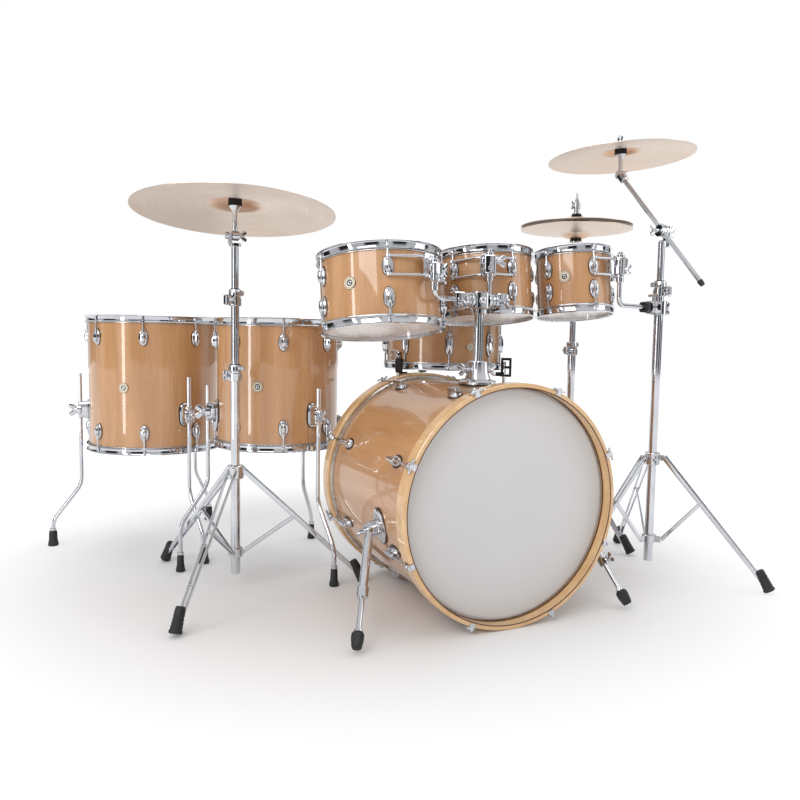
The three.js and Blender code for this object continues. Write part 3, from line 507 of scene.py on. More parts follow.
BASS_LUG_AT, ROD_OVER_SHELL = 113.5, 295.0
bass_chrome, bass_gaskets = [], []
for place in (bass_front, bass_back):
    for k in range(8):
        angle = 22.5 + 45 * k
        lug = on_wall(place, BASS_RADIUS - 0.5, angle, BASS_LUG_AT)
        bass_gaskets.append(carried([(0, 0, -1), (27, 16.5, -1), (27, 16.5, 1.6), (26, 15.5, 2.4), (0, 0, 2.4)],
            lug))
        bass_chrome += [dome(48, 26, 15, lug @ stand((0, 0, 2)), 2.2, 2.6),
                        bar(within(place, polar(ROD_OVER_SHELL, angle, BASS_LUG_AT - 25)),
                            within(place, polar(ROD_OVER_SHELL, angle, BASS_LUG_AT + 19)), 8.4, 6.6),
                        bar(within(place, polar(ROD_OVER_SHELL + 1, angle, -2)),
                            within(place, polar(ROD_OVER_SHELL, angle, BASS_LUG_AT - 20)), 3.1, sides=12)]
        claw = on_wall(place, BASS_HOOP_RADIUS + 2.4, angle, 13)
        lip = on_wall(place, BASS_HOOP_RADIUS - 4, angle, -1.4)
        bass_chrome += [block(31, 17, 4, claw, 1.4, 5), block(4.2, 15, 11, lip, 1.2, 5),
                        dome(16, 14, 7, claw @ stand((-2, 0, 1.5)), 2.5),
                        bar(within(claw, (-18, 0, 2)), within(claw, (-8, 0, 2)), 5.2)]
        if place is bass_front and k not in (4, 5, 6, 7):
            bass_chrome.append(block(7, 7, 7, claw @ stand((-16, 0, 2)), 0.8, 8))
        else:
            bass_chrome += [bar(within(claw, (-15, -17, 2.5)), within(claw, (-15, 17, 2.5)), 3.1, sides=12)]
piece("bass_lugs_and_claws", bass_chrome, chrome, "base")
piece("bass_lug_gaskets", bass_gaskets, black_plastic, "base")

# ---------- bass drum: spurs ----------
# Two folding legs keep the drum from creeping. Each has an oval cast plate on a gasket, a ratchet boss with
# a wing screw, a stout tube, a clamp and a thinner rod that ends in a faceted rubber tip.


def joint_at(name):
    joint = next(joint for joint in frame["joints"] if joint["name"] == name)
    return (np.array(joint["pos_m"]) - ZERO) * MM


def wing_nut(at, outward, toward=(0, 0, 1), size=1.0):
    """A hub and two ears: thin ovals that widen, lean outwards and close at the top."""
    place = stand(at, outward, toward)
    hub = turned([(0, 0), (6.5 * size, 0), (6.5 * size, 3 * size), (4.4 * size, 12 * size),
        (3.2 * size, 13 * size),
                  (0, 13 * size)], place, 16)
    ears = []
    for side in (-1, 1):
        lean = place @ stand((side * 3 * size, 0, 4 * size), (side * 0.62, 0, 1))
        rows = np.array([(0, 0, 0), (4.5, 1.8, 0), (5.5, 1.7, 4), (7, 1.5, 10), (7, 1.3, 15), (5, 1.1, 18.5),
            (0, 0, 19.5)])
        ears.append(carried(rows * size, lean, 2.4, 16))
    return [hub, *ears]


def spur(side):
    """One spur, hinged at its joint and resting on the floor at the foot of its CAD node."""
    knuckle = joint_at(f"{side}_spur_hinge")
    axis_point = np.array([0, knuckle[1], BASS_HOOP_RADIUS])
    out = (knuckle - axis_point) / np.linalg.norm(knuckle - axis_point)
    low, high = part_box(f"bass_spur_{side}")
    foot_x = low.x if side == "left" else high.x
    inward = 9.0 if side == "left" else -9.0
    foot = np.array([(foot_x - ZERO[0]) * MM + inward, (low.y - ZERO[1]) * MM + 9, 4])
    down = (foot - knuckle) / np.linalg.norm(foot - knuckle)
    wall = axis_point + out * (BASS_RADIUS - 0.5)
    plate = stand(wall, out, (0, 0, 1))
    across = np.cross(down, out)
    piece(f"spur_plate_{side}",
        [carried([(0, 0, 1), (44, 31, 1), (44, 31, 4.5), (40, 27, 7), (30, 20, 8), (0, 0, 8)], plate),
                                 bar(wall + out * 4, wall + out * 16, 21, 19, 28)], chrome, "base")
    piece(f"spur_plate_gasket_{side}",
        [carried([(0, 0, -1.5), (46, 33, -1.5), (46, 33, 1.6), (0, 0, 1.6)], plate)],
          black_plastic, "base")
    sleeve_end = knuckle + down * 165
    clamp = sleeve_end - down * 4
    parts = [bar(wall + out * 16.5, knuckle + out * 9, 18.5, 17, 28),
             *[bar(wall + out * z, wall + out * (z + 1.6), 19.6, None, 28) for z in (18, 21.5, 25)],
             bar(knuckle - down * 16, sleeve_end, 10.8, 10.2, 24),
             bar(clamp - down * 14, clamp + down * 10, 13.5, None, 24),
             block(18, 22, 20, stand(clamp + across * 10, across, down)),
             *wing_nut(clamp + across * 20, across, down, 0.8),
             bar(sleeve_end, foot - down * 50, 6.2), bar(foot - down * 58, foot - down * 52, 10, None, 20),
             *wing_nut(knuckle + out * 9, out, np.cross(out, down), 1.15)]
    piece(f"spur_leg_{side}", parts, chrome, f"{side}_spur", [f"bass_spur_{side}"])
    tip = [(0, 0), (11, 0), (15, 5), (15, 17), (12, 34), (9.5, 38), (0, 38)]
    turned_tip = turned(tip, stand(foot - down * 52, down), 8)
    piece(f"spur_tip_{side}", [turned_tip], black_rubber, f"{side}_spur", sharp=20)


spur("left")
spur("right")

# ---------- double tom holder ----------
# A cast foot bolted on the bass drum over a gasket, a stout height post, and a head whose two ratchet
# knuckles each grip an L rod. The post slides in the foot and is held by two wing bolts.


def middle(node):
    low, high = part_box(node)
    return (np.array(low + high) / 2 - ZERO) * MM


def bent(points, radius, corner=22.0, sides=16, steps=7):
    """A round bar along straight runs whose corners are quadratic curves; its circles stay square to the path."""
    points = np.array(points, float)
    line = [points[0]]
    for before, at, after in zip(points, points[1:], points[2:]):
        enter = at + (before - at) / np.linalg.norm(before - at) * corner
        leave = at + (after - at) / np.linalg.norm(after - at) * corner
        t = np.linspace(0, 1, steps)[:, None]
        line.extend((1 - t) ** 2 * enter + 2 * t * (1 - t) * at + t * t * leave)
    line = np.array([*line, points[-1]])
    along = np.gradient(line, axis=0)
    along /= np.linalg.norm(along, axis=1)[:, None]
    side = np.cross(along[0], along[-1] if len(points) == 3 else points[2] - points[1])
    side /= np.linalg.norm(side)
    other = np.cross(along, side)
    angle = np.linspace(0, 2 * np.pi, sides, endpoint=False)
    circle = np.cos(angle)[None, :, None] * side + np.sin(angle)[None, :, None] * other[:, None, :]
    rows = line[:, None, :] + radius * circle
    caps = [np.repeat(line[i][None, None, :], sides, 1) for i in (0, -1)]
    return skin(np.concatenate([caps[0], rows, caps[1]]))


HOLDER_TOP = joint_at("tom12_tilt_hinge") * (0, 1, 1)
HOLDER_Y, HOLDER_Z = HOLDER_TOP[1:]
BASS_CROWN = BASS_HOOP_RADIUS + BASS_RADIUS
foot_place = stand((0, HOLDER_Y, BASS_CROWN))
piece("tom_holder_gasket", [carried([(0, 0, -4), (41, 49, -4), (41, 49, 2.4), (0, 0, 2.4)], foot_place, 3.2)],
      black_plastic, "base")
holder_foot = [carried([(0, 0, 0), (40, 48, 0), (40, 48, 6), (37, 45, 10), (28, 31, 13), (24, 25, 30),
    (22, 22, 56),
                        (19, 19, 59), (13.4, 13.4, 59), (13.4, 13.4, 40), (0, 0, 40)],
                        foot_place @ stand((0, 0, 2)), 3.4, 36),
               bar((-34, HOLDER_Y, BASS_CROWN + 38), (34, HOLDER_Y, BASS_CROWN + 38), 9)]
for side in (-1, 1):
    holder_foot += wing_nut((side * 34, HOLDER_Y, BASS_CROWN + 38), (side, 0, 0.0), (0, 0, 1), 0.95)
    for y in (-38, 38):
        holder_foot.append(dome(9, 9, 4, foot_place @ stand((side * 22, y, 10)), 2, 2))
piece("tom_holder_foot", holder_foot, chrome, "base", ["tom_holder_base"])
head_place = stand((0, HOLDER_Y, HOLDER_Z))
piece("tom_holder_column", [bar((0, HOLDER_Y, 471), (0, HOLDER_Y, HOLDER_Z - 18), 12.6, None, 32),
                            block(40, 36, 43, head_place, 3, 6),
                            block(34, 30, 20, head_place @ stand((0, 0, -28)), 5, 4),
                            dome(20, 20, 7, head_place @ stand((0, -18, 0), (0, -1, 0)), 2, 3)],
      chrome, "tom_post", ["tom_holder_post"])


def holder_arm(tom, side, points):
    """A ratchet knuckle of stacked toothed discs, its wing screw, and the L rod that it grips."""
    inner, outer = side * 21.4, side * 79
    start = np.array([inner, HOLDER_Y, HOLDER_Z])
    out = np.array([side, 0, 0])
    discs = [bar(start + out * a, start + out * b, r, None, 32, 0.8)
             for a, b, r in ((0, 7, 19.5), (8, 11, 17.5), (12, 15, 17.5), (16, 19, 17.5), (20, 27, 19.5))]
    body = [block(38, 34, 38, stand(start + out * 40), 3, 6),
        bar(start, np.array([outer, HOLDER_Y, HOLDER_Z]), 11),
            *[block(2.6, 35.5, 32, stand(start + out * z), 0.6, 6) for z in (27.5, 34, 40.5, 47)],
            bar(start + out * 40 + (0, -30, -6), start + out * 40 + (0, 20, -6), 6),
            *wing_nut(start + out * 40 + (0, -26, -6), (0, -1, -0.15), (0, 0, 1), 0.9)]
    path = [np.array(point, float) for point in points]
    rod = bent(path, 6.3) if len(path) > 2 else bar(path[0], path[1], 6.3)
    lock = np.array([*path[-1][:2], middle(f"{tom}_shell")[2] + 10])
    piece(f"{tom}_l_rod", [*discs, *body, rod, bar(lock - (0, 0, 7), lock + (0, 0, 5), 10, None, 20)],
          chrome, f"{tom}_arm", [f"{tom}_arm"])


ROD_ABOVE_TOM = 84.0
rod12, rod10 = joint_at("tom12_swivel_hinge"), joint_at("tom10_swivel_hinge")
holder_arm("tom12", -1, [(-64, HOLDER_Y, HOLDER_Z), (rod12[0], rod12[1], HOLDER_Z),
    rod12 + (0, 0, ROD_ABOVE_TOM)])
holder_arm("tom10", 1, [(rod10[0], rod10[1], HOLDER_Z), rod10 + (0, 0, ROD_ABOVE_TOM)])

# ---------- rack toms ----------
# Three small maple drums. Each end has a film head under a pressed steel hoop with three flanges, drawn
# down by key rods into oval cast lugs, and a bracket on two bars carries the drum without drilling it.

TURN_OVER = np.diag([1.0, -1.0, -1.0, 1.0])


def drum_place(name, tilt=0.0):
    """Place at the middle of a drum, its z axis leaning back towards the player by the tilt in degrees."""
    centre = (middle(f"{name}_batter_hoop") + middle(f"{name}_bottom_hoop")) / 2
    return stand(centre, (0, np.sin(np.radians(tilt)), np.cos(np.radians(tilt))))


def end_fittings(name, side, place, radius, half, angles, lug_top, body, film):
    """Hoop, film, ears and key rods of the end that the place's z axis points to."""
    r = radius
    hoop = [(r + 1.3, half - 9), (r + 2.6, half - 10.6), (r + 8.6, half - 11), (r + 9.3, half - 10),
        (r + 8.6, half - 9.2),
            (r + 5, half - 8.6), (r + 3.7, half - 7), (r + 3.4, half + 4.5), (r + 4.4, half + 6.8),
            (r + 8.4, half + 7.6),
            (r + 9.4, half + 8.6), (r + 8.4, half + 9.6), (r + 3, half + 9.6), (r + 1.3, half + 7.5),
            (r + 1.3, half - 9)]
    parts = [turned(hoop, place, 128)]
    for angle in angles:
        ear = on_wall(place, r + 6.6, angle, half - 9.9)
        ends = [within(place, polar(r + 6.3, angle, z)) for z in (lug_top, half - 7.6, half - 6, half - 0.5)]
        parts += [block(3.4, 17, 7.5, ear, 0.8, 4), bar(ends[0], ends[1], 2.7, sides=12),
            bar(ends[1], ends[2], 5.4, sides=16),
                  bar(ends[2], ends[3], 4.2, sides=16),
                  block(6, 6, 6,
                  stand(within(place, polar(r + 6.3, angle, half + 2.4)), place[:3, 2], place[:3, 0]), 0.7, 9)]
    piece(f"{name}_{side}_hoop_steel", parts, chrome, body, [f"{name}_{side}_hoop"])
    skin_profile = [(0, half + 0.9), (r - 4, half + 0.9), (r - 0.6, half + 0.4), (r + 0.5, half - 1.5),
        (r + 0.8, half - 7),
                    (r + 0.2, half - 7), (r - 0.1, half - 1.7), (r - 1, half - 0.2), (r - 4, half + 0.2),
                    (0, half + 0.2)]
    piece(f"{name}_{side}_film", [turned(skin_profile, place, 128)], film, body)
    rim = [(r + 0.9, half - 9.4), (r + 4, half - 11.6), (r + 4, half - 13.6), (r + 0.9, half - 13.6),
        (r + 0.9, half - 9.4)]
    piece(f"{name}_{side}_flesh_rim", [turned(rim, place, 128)], satin_metal, body)


def badge(name, place, radius, angle, height, body, size=15.5):
    """A small oval-edged vent badge: dark plate, pale ring, dark ring and a plated eyelet."""
    spot = on_wall(place, radius - 0.7, angle, height)
    disc = [(0, 0, -1), (size, size, -1), (size, size, 1.7), (size - 1, size - 1, 2.2), (0, 0, 2.2)]
    piece(f"{name}_badge_plate", [carried(disc, spot, 2, 40)], black_plastic, body)
    rings = [turned([(size * a, 2.0), (size * a, 2.7), (size * b, 2.7), (size * b, 2.0), (size * a, 2.0)], spot,
        40)
             for a, b in ((0.52, 0.76), (0.84, 0.95))]
    piece(f"{name}_badge_rings", rings, badge_cream, body)
    piece(f"{name}_badge_eyelet",
        [turned([(2.2, 1.8), (5, 2.2), (5.4, 3), (3.6, 4), (2.2, 3.4), (2.2, 1.8)], spot, 32)],
          chrome, body)


badge_cream = coated("cream_badge_enamel", srgb(216, 204, 176), srgb(228, 218, 194), 120.0, (0.25, 0.4),
    bump=0.1)


def drum(name, place, radius, depth, angles, body, lug_offset, badge_at, film):
    """A wooden drum: shell, both ends, and two rows of oval lugs on gaskets."""
    half = depth / 2
    piece(f"{name}_shell_wood", [ring(radius - 7, radius, -half, half, place, 128)], upright_maple, body,
          [f"{name}_shell"])
    lug_middle = half - lug_offset
    below = place @ TURN_OVER
    plates, castings = [], []
    for end_place, sign in ((place, 1), (below, -1)):
        for angle in angles:
            lug = on_wall(end_place, radius - 0.6, sign * angle, lug_middle)
            plates.append(carried([(0, 0, -1), (25.5, 14.2, -1), (25.5, 14.2, 1.8), (0, 0, 1.8)], lug))
            castings += [dome(48.5, 26.5, 6, lug @ stand((0, 0, 1.6)), 2.1, 4.5),
                dome(37, 16, 15, lug @ stand((0, 0, 2.5)), 2.3, 2.6),
                         bar(within(end_place, polar(radius + 6.6, sign * angle, lug_middle + 10)),
                             within(end_place, polar(radius + 6.4, sign * angle, lug_middle + 26)), 6.4, 5.0)]
    piece(f"{name}_lug_gaskets", plates, black_plastic, body)
    piece(f"{name}_lugs", castings, chrome, body)
    end_fittings(name, "batter", place, radius, half, angles, lug_middle + 20, body, head_film)
    end_fittings(name, "bottom", below, radius, half, [-angle for angle in angles], lug_middle + 20, body, film)
    badge(name, place, radius, *badge_at, body)


def suspension(name, place, radius, depth, angles, body):
    """The tom's bracket: two bars from lug to lug, a plate between them, and a clamp on the upright rod."""
    rod = joint_at(f"{name}_swivel_hinge")
    local = np.linalg.inv(place) @ np.array([*rod, 1.0])
    reach, angle = np.hypot(local[0], local[1]), np.degrees(np.arctan2(local[1], local[0]))
    turn = (np.array(angles) - angle + 180) % 360 - 180
    before, after = angle + max(turn[turn < 0]), angle + min(turn[turn >= 0])
    lug_middle = depth / 2 - 52
    parts = []
    for z in (lug_middle - 22, lug_middle + 22):
        path = [within(place, polar(r, a, z)) for r, a in
                ((radius + 11, before), (radius + 19, angle - 9), (radius + 19, angle + 9),
                (radius + 11, after))]
        parts.append(bent(path, 3.4, 9, 12))
        parts += [bar(within(place, polar(radius + 11, a, z - 4)), within(place, polar(radius + 11, a, z + 4)),
            6.4)
                  for a in (before, after)]
    plate = on_wall(place, radius + 21, angle, lug_middle)
    clamp_at = np.array([*rod[:2], rod[2] + 46])
    out = plate[:3, 2] * (1, 1, 0)
    clamp = stand(clamp_at, (0, 0, 1), out)
    jaw = max(reach - radius - 24, 8)
    parts += [block(62, 40, 6, plate, 1.4, 5), block(40, 30, jaw, plate @ stand((0, 0, jaw / 2)), 2, 6),
              block(29, 31, 46, clamp, 2.6, 5), block(16, 44, 16, clamp @ stand((2, 0, 8)), 2, 5),
              bar(clamp_at - (0, 0, 30), clamp_at + (0, 0, 30), 10.5, None, 24),
              *wing_nut(within(clamp, (6, 20, 8)), clamp[:3, 1], (0, 0, 1), 0.95),
              *wing_nut(within(clamp, (14, 0, -10)), clamp[:3, 0], (0, 0, 1), 0.8)]
    for z in (-24, 24):
        parts.append(dome(9, 9, 4, plate @ stand((z, 0, 2.6)), 2, 2))
    piece(f"{name}_suspension", parts, chrome, body)


def spread(count, first):
    """Angles of evenly spaced lugs."""
    return [first + 360 / count * k for k in range(count)]


RACK_LUG_OFFSET = 52.0
for name, tilt, radius, depth, first, badge_at in (("tom12", 8.5, 151.0, 178.0, -106.4, (-141.8, 4)),
                                                   ("tom10", 6.5, 127.0, 166.0, -87.4, (150.0, 4)),
                                                   ("tom8", 7.0, 101.0, 165.0, -96.5, (-141.0, 6))):
    drum_at, lug_angles = drum_place(name, tilt), spread(5, first)
    drum(name, drum_at, radius, depth, lug_angles, name, RACK_LUG_OFFSET, badge_at, clear_film)
    suspension(name, drum_at, radius, depth, lug_angles, name)

# ---------- floor toms and their legs ----------
# Two deep maple drums that stand on three bent steel rods each. Every rod passes through a cast bracket
# with a wing bolt, where it slides to set the height, and ends in a rubber bulb.


def rubber_bulb(at, up, name, body, radius=16.0, length=54.0):
    """A turned rubber foot, widest at the floor."""
    profile = [(0, 0), (radius - 1.5, 0), (radius, 2), (radius, 6), (radius - 3, 20), (radius - 4, length - 8),
               (radius - 7, length - 3), (7.5, length), (0, length)]
    piece(name, [turned(profile, stand(at, up), 24)], black_rubber, body)


FLOOR_LUG_OFFSET = 58.0
LEG_SLANT = 120.0
for name, radius, depth, first, rod_radius, foot_radius, bracket_z, rod_top, leg_angles, bends, badge_at, bulb in (
        ("floor16", 203.0, 406.0, -106.0, 232.0, 322.0, -90.0, 560.0, (168, -72, 48), (200, 200, 200),
        (-123.5, -8), 16.0),
        ("floor14", 178.0, 356.0, -101.0, 207.0, 287.0, -85.0, 545.0, (177, -73, 51), (256, 224, 200),
        (-124.0, -4), 13.5)):
    drum_at = drum_place(name)
    drum(name, drum_at, radius, depth, spread(8, first), "base", FLOOR_LUG_OFFSET, badge_at, clear_film)
    centre = drum_at[:3, 3] * (1, 1, 0)
    castings, plates = [], []
    for k, (angle, bend) in enumerate(zip(leg_angles, bends), 1):
        wall = on_wall(drum_at, radius - 0.6, angle, bracket_z)
        reach = rod_radius - radius
        plates.append(block(72, 38, 5, wall @ stand((0, 0, -0.4)), 0.6, 3))
        castings += [block(68, 34, 6, wall @ stand((0, 0, 4)), 1.6, 3.2),
            block(54, 26, reach + 11, wall @ stand((0, 0, reach / 2)), 3, 4),
                     block(30, 34, 16, wall @ stand((0, 0, reach + 2)), 3, 4),
                     *wing_nut(within(wall, (0, 0, reach + 9)), wall[:3, 2], (0, 0, 1), 1.25)]
        points = [centre + polar(r, angle, z) for r, z in
                  ((rod_radius, rod_top), (rod_radius, bend), (foot_radius, bend - LEG_SLANT),
                  (foot_radius, 30))]
        leg = f"{name}_leg_{k}"
        piece(f"{leg}_rod", [bent(points, 6.3, 26), bar(points[0] - (0, 0, 1), points[0] + (0, 0, 0.2), 5.6),
                             bar(points[3] + (0, 0, 20), points[3] + (0, 0, 27), 9.5)],
              chrome, leg, [leg])
        rubber_bulb(centre + polar(foot_radius, angle, 0.4), (0, 0, 1), f"{leg}_rubber", leg, bulb)
    piece(f"{name}_leg_brackets", castings, chrome, "base")
    piece(f"{name}_bracket_gaskets", plates, black_plastic, "base")

# ---------- snare drum ----------
# A shallow maple shell whose eight lugs are long narrow tubes that hold the rods of both ends. The wires
# under the bottom head are drawn tight by the throw-off lever on the player's side, facing a butt plate.

SNARE_RADIUS, SNARE_DEPTH, SNARE_FIRST_LUG, TUBE_LUG = 178.0, 140.0, -112.3, 68.0
snare_at = drum_place("snare")
snare_angles = spread(8, SNARE_FIRST_LUG)
piece("snare_shell_wood", [ring(SNARE_RADIUS - 7, SNARE_RADIUS, -SNARE_DEPTH / 2, SNARE_DEPTH / 2, snare_at,
    128)],
      upright_maple, "snare", ["snare_shell"])
tubes, tube_gaskets = [], []
for angle in snare_angles:
    lug = on_wall(snare_at, SNARE_RADIUS - 0.6, angle, 0)
    tube_gaskets.append(carried([(0, 0, -1), (37, 12, -1), (37, 12, 1.8), (0, 0, 1.8)], lug, 2.6))
    tubes += [dome(71, 22, 6, lug @ stand((0, 0, 1.6)), 2.6, 4.5),
        dome(60, 13, 16, lug @ stand((0, 0, 2.5)), 2.6, 3.4)]
piece("snare_tube_lugs", tubes, chrome, "snare")
piece("snare_lug_gaskets", tube_gaskets, black_plastic, "snare")
end_fittings("snare", "batter", snare_at, SNARE_RADIUS, SNARE_DEPTH / 2, snare_angles, TUBE_LUG / 2 - 3,
    "snare", head_film)
end_fittings("snare", "bottom", snare_at @ TURN_OVER, SNARE_RADIUS, SNARE_DEPTH / 2, [-a for a in snare_angles],
             TUBE_LUG / 2 - 3, "snare", clear_film)
badge("snare", snare_at, SNARE_RADIUS, -91, -8, "snare", 12.0)
THROW_OFF_ANGLE, BUTT_ANGLE = 0.2, 190.2
strainer = on_wall(snare_at, SNARE_RADIUS - 0.6, THROW_OFF_ANGLE, 0)
butt = on_wall(snare_at, SNARE_RADIUS - 0.6, BUTT_ANGLE, -38)
piece("snare_strainer_body", [block(74, 30, 15, strainer @ stand((0, 0, 7.5)), 2.4, 4),
                              bar(within(strainer, (-30, 0, 12)), within(strainer, (-52, 0, 12)), 5),
                              bar(within(strainer, (-50, 0, 12)), within(strainer, (-58, 0, 12)), 8, None, 24),
                              block(34, 44, 12, butt @ stand((0, 0, 6)), 2, 4),
                              *[dome(8, 8, 3, butt @ stand((0, y, 12)), 2, 2) for y in (-14, 14)]],
      chrome, "snare")
lever_foot = joint_at("throw_off_hinge")
lever_place = stand(lever_foot, (1, 0, 0), (0, 0, 1))
piece("snare_lever", [bar(lever_foot - (0, 11, 0), lever_foot + (0, 11, 0), 5),
    block(66, 17, 5, lever_place @ stand((33, 0, 0)), 1.6, 3),
                      block(14, 21, 17, lever_place @ stand((70, 0, 4)), 3, 3)],
      chrome, "throw_off", ["snare_throw_off"])
WIRE_COUNT, WIRE_HALF = 20, 150.0
wires = [bar(within(snare_at, (-WIRE_HALF, y, -73)), within(snare_at, (WIRE_HALF, y, -73)), 0.8, None, 6, 0.2)
         for y in np.linspace(-26, 26, WIRE_COUNT)]
wires += [block(14, 60, 2.4, snare_at @ stand((x, 0, -73.4)), 0.5, 8) for x in (-WIRE_HALF, WIRE_HALF)]
piece("snare_wires", wires, satin_metal, "snare")

# ---------- stands: tubes, clamps, legs and feet ----------
# All stands are chromed steel tube. A tripod has double-braced legs, two flat bars side by side riveted to
# brackets, and fat ribbed rubber feet. Heights are held by clamps with a nylon sleeve and a wing bolt.


def upright(at, low, high):
    """Two ends of a vertical run at a plan point."""
    return np.array([at[0], at[1], low], float), np.array([at[0], at[1], high], float)


def height_clamp(at, z, radius, degrees):
    """Clamp body, split block, wing bolt and memory lock at the top of a tube, turned to an angle."""
    out = polar(1, degrees)
    place = stand((at[0], at[1], z), (0, 0, 1), out)
    profile = [(radius - 2, -24), (radius + 4, -24), (radius + 5.5, -22), (radius + 5.5, -4),
        (radius + 3.6, -2),
               (radius + 3.6, 2), (radius + 5.5, 4), (radius + 5.5, 17), (radius + 4.4, 19.5),
               (radius - 2, 19.5), (radius - 2, -24)]
    return [turned(profile, place, 32), block(24, 20, 26, place @ stand((radius + 8, 0, -8)), 2.4, 4),
            bar(within(place, (radius + 8, -19, -8)), within(place, (radius + 8, 16, -8)), 5),
            *wing_nut(within(place, (radius + 8, 15, -8)), np.cross((0, 0, 1), out), (0, 0, 1), 0.95),
            block(15, 13, 13, place @ stand((-radius - 6, 0, 10)), 1.6, 4),
            bar(within(place, (-radius - 6, -10, 10)), within(place, (-radius - 6, 10, 10)), 3, None, 12)]


def nylon_ring(at, z, radius):
    """The sleeve that shows between a tube and the next one inside it."""
    return ring(radius - 3.6, radius + 1.2, z, z + 4, stand((at[0], at[1], 0)), 32, 0.5)


def flat_bar(start, end, width, thickness, side):
    """A long flat bar with rounded edges; its thickness lies along the side direction."""
    start, end = np.array(start, float), np.array(end, float)
    length = np.linalg.norm(end - start)
    return block(thickness, width, length, stand((start + end) / 2, end - start, side), 0.7, 5, 20)


def leg_bars(top, foot, side, gap=10.5):
    """The two bars of a leg, which draw together towards the foot, with their spacer rivets."""
    along = (foot - top) / np.linalg.norm(foot - top)
    bars = [flat_bar(top + side * s - along * 5, foot + side * s * 0.45, 12.5, 3.6, side) for s in (-gap, gap)]
    for t in (0.0, 0.45, 0.8, 0.97):
        at, half = top + (foot - top) * t, gap * (1 - 0.55 * t) + 3
        bars.append(bar(at - side * half, at + side * half, 3.4 if t < 0.9 else 4.4, None, 16))
    return bars


def collar(at, z, low, high, outer, bore):
    """A turned collar round a tube."""
    profile = [(bore, low), (outer - 2, low), (outer, low + 2), (outer, high - 2), (outer - 2, high),
        (bore, high), (bore, low)]
    return turned(profile, stand((at[0], at[1], z)), 32)


def ribbed_foot(centre, degrees, foot_radius):
    """A leaning rubber foot whose radius swells between eight shallow grooves."""
    lift, lean, length = 8.6, 30.0, 62.0
    bottom, top = centre + polar(foot_radius, degrees, lift), centre + polar(foot_radius - lean, degrees,
        lift + 54)
    grooves = [(15.7 - 0.062 * z - (1.3 if step % 2 else 0.0), z) for step,
        z in enumerate(np.linspace(7, 40, 9))]
    profile = [(0, 0), (13.5, 0), (15.8, 1.6), (16, 5), *grooves, (12.6, 46), (12.2, length - 6),
        (10.5, length - 1), (0, length)]
    return turned(profile, stand(bottom, top - bottom), 28)


LEG_START, HAND_WIDTH = 17.0, 24.0


def tripod(name, centre, angles, foot_radius, collar_z, brace_z, parts):
    """Adds a rigid tripod's collars, legs and braces to the parts and makes its rubber feet."""
    parts += [collar(centre, collar_z, -22, 14, 23, 12), collar(centre, brace_z, -12, 12, 20, 12)]
    feet = []
    for angle in angles:
        side = polar(1, angle + 90)
        top, low = centre + polar(LEG_START + 6, angle, collar_z), centre + polar(LEG_START + 2, angle, brace_z)
        foot = centre + polar(foot_radius - HAND_WIDTH, angle, 37)
        halfway = top + (foot - top) * 0.45
        parts += leg_bars(top, foot, side)
        parts += [flat_bar(low, halfway, 12, 3.4, side),
            flat_bar(low + side * 4.6, halfway + side * 4.6, 8, 2.4, side),
                  block(16, 20, 20, stand(top - polar(4, angle), (0, 0, 1), polar(1, angle)), 1.5, 4),
                  block(14, 14, 14, stand(low - polar(3, angle), (0, 0, 1), polar(1, angle)), 1.5, 4)]
        feet.append(ribbed_foot(centre, angle, foot_radius))
    piece(f"{name}_rubber_feet", feet, black_rubber, "base")


# ---------- snare stand ----------
# A low double-braced tripod with a toothed tilter on top and a basket of three arms, whose upturned ends
# hold the drum in rubber grips.
snare_tilt = joint_at("snare_tilt_hinge")
snare_foot = snare_tilt * (1, 1, 0)
stand_parts = [bar(*upright(snare_foot, 41, 470), 12.6, None, 28),
    block(44, 30, 8, stand(snare_tilt - (2, 0, 30)), 1.5, 5),
               block(7, 30, 36, stand(snare_tilt - (18, 0, 15)), 1.5, 4),
               *height_clamp(snare_foot, 400, 12.6, 200)]
tripod("snare_stand", snare_foot, (-50, 70, 190), 230.0, 250.0, 80.0, stand_parts)
piece("snare_stand_steel", stand_parts, chrome, "base", ["snare_stand"])
GRIP_RADIUS, ARM_Z = SNARE_RADIUS + 20, snare_tilt[2] + 40
SEAT_Z = snare_at[2, 3] - SNARE_DEPTH / 2 - 13.6
basket, grips = [bar(snare_tilt - (14, 0, 0), snare_tilt + (14, 0, 0), 13, None, 28),
                 bar(snare_tilt, snare_tilt + (0, 0, 40), 9),
                 bar(snare_tilt + (0, 0, 30), snare_tilt + (0, 0, 48), 15, None, 28),
                 *wing_nut(snare_tilt + (14, 0, 0), (1, 0, 0), (0, 0, 1), 1.1)], []
for angle in (-38, -160, 84):
    hub = snare_foot + (0, 0, ARM_Z)
    side = polar(1, angle + 90)
    basket += [flat_bar(hub + side * s, hub + polar(GRIP_RADIUS - 2, angle) + side * s, 9, 4,
        side) for s in (-6, 6)]
    basket.append(bent([hub + polar(GRIP_RADIUS - 22, angle), hub + polar(GRIP_RADIUS, angle),
                        hub + polar(GRIP_RADIUS, angle, SEAT_Z + 30 - ARM_Z)], 5.6, 12, 14))
    grip = stand(snare_foot + polar(GRIP_RADIUS, angle, SEAT_Z + 12), polar(1, angle), (0, 0, 1))
    if angle == -38:
        grips += [block(58, 11, 7, grip @ stand((0, 0, z)), 1.5, 4) for z in (-7, 19)]
        grips += [block(8, 11, 33, grip @ stand((x, 0, 6)), 1.5, 4) for x in (-26, 0, 26)]
    else:
        grips.append(block(46, 24, 15, grip @ stand((4, 0, 0)), 3, 4))
    grips.append(block(13, 22, 30, grip @ stand((-22, 0, -14)), 2, 4))
piece("snare_basket_steel", basket, chrome, "snare", ["snare_basket"])
piece("snare_basket_grips", grips, black_rubber, "snare")

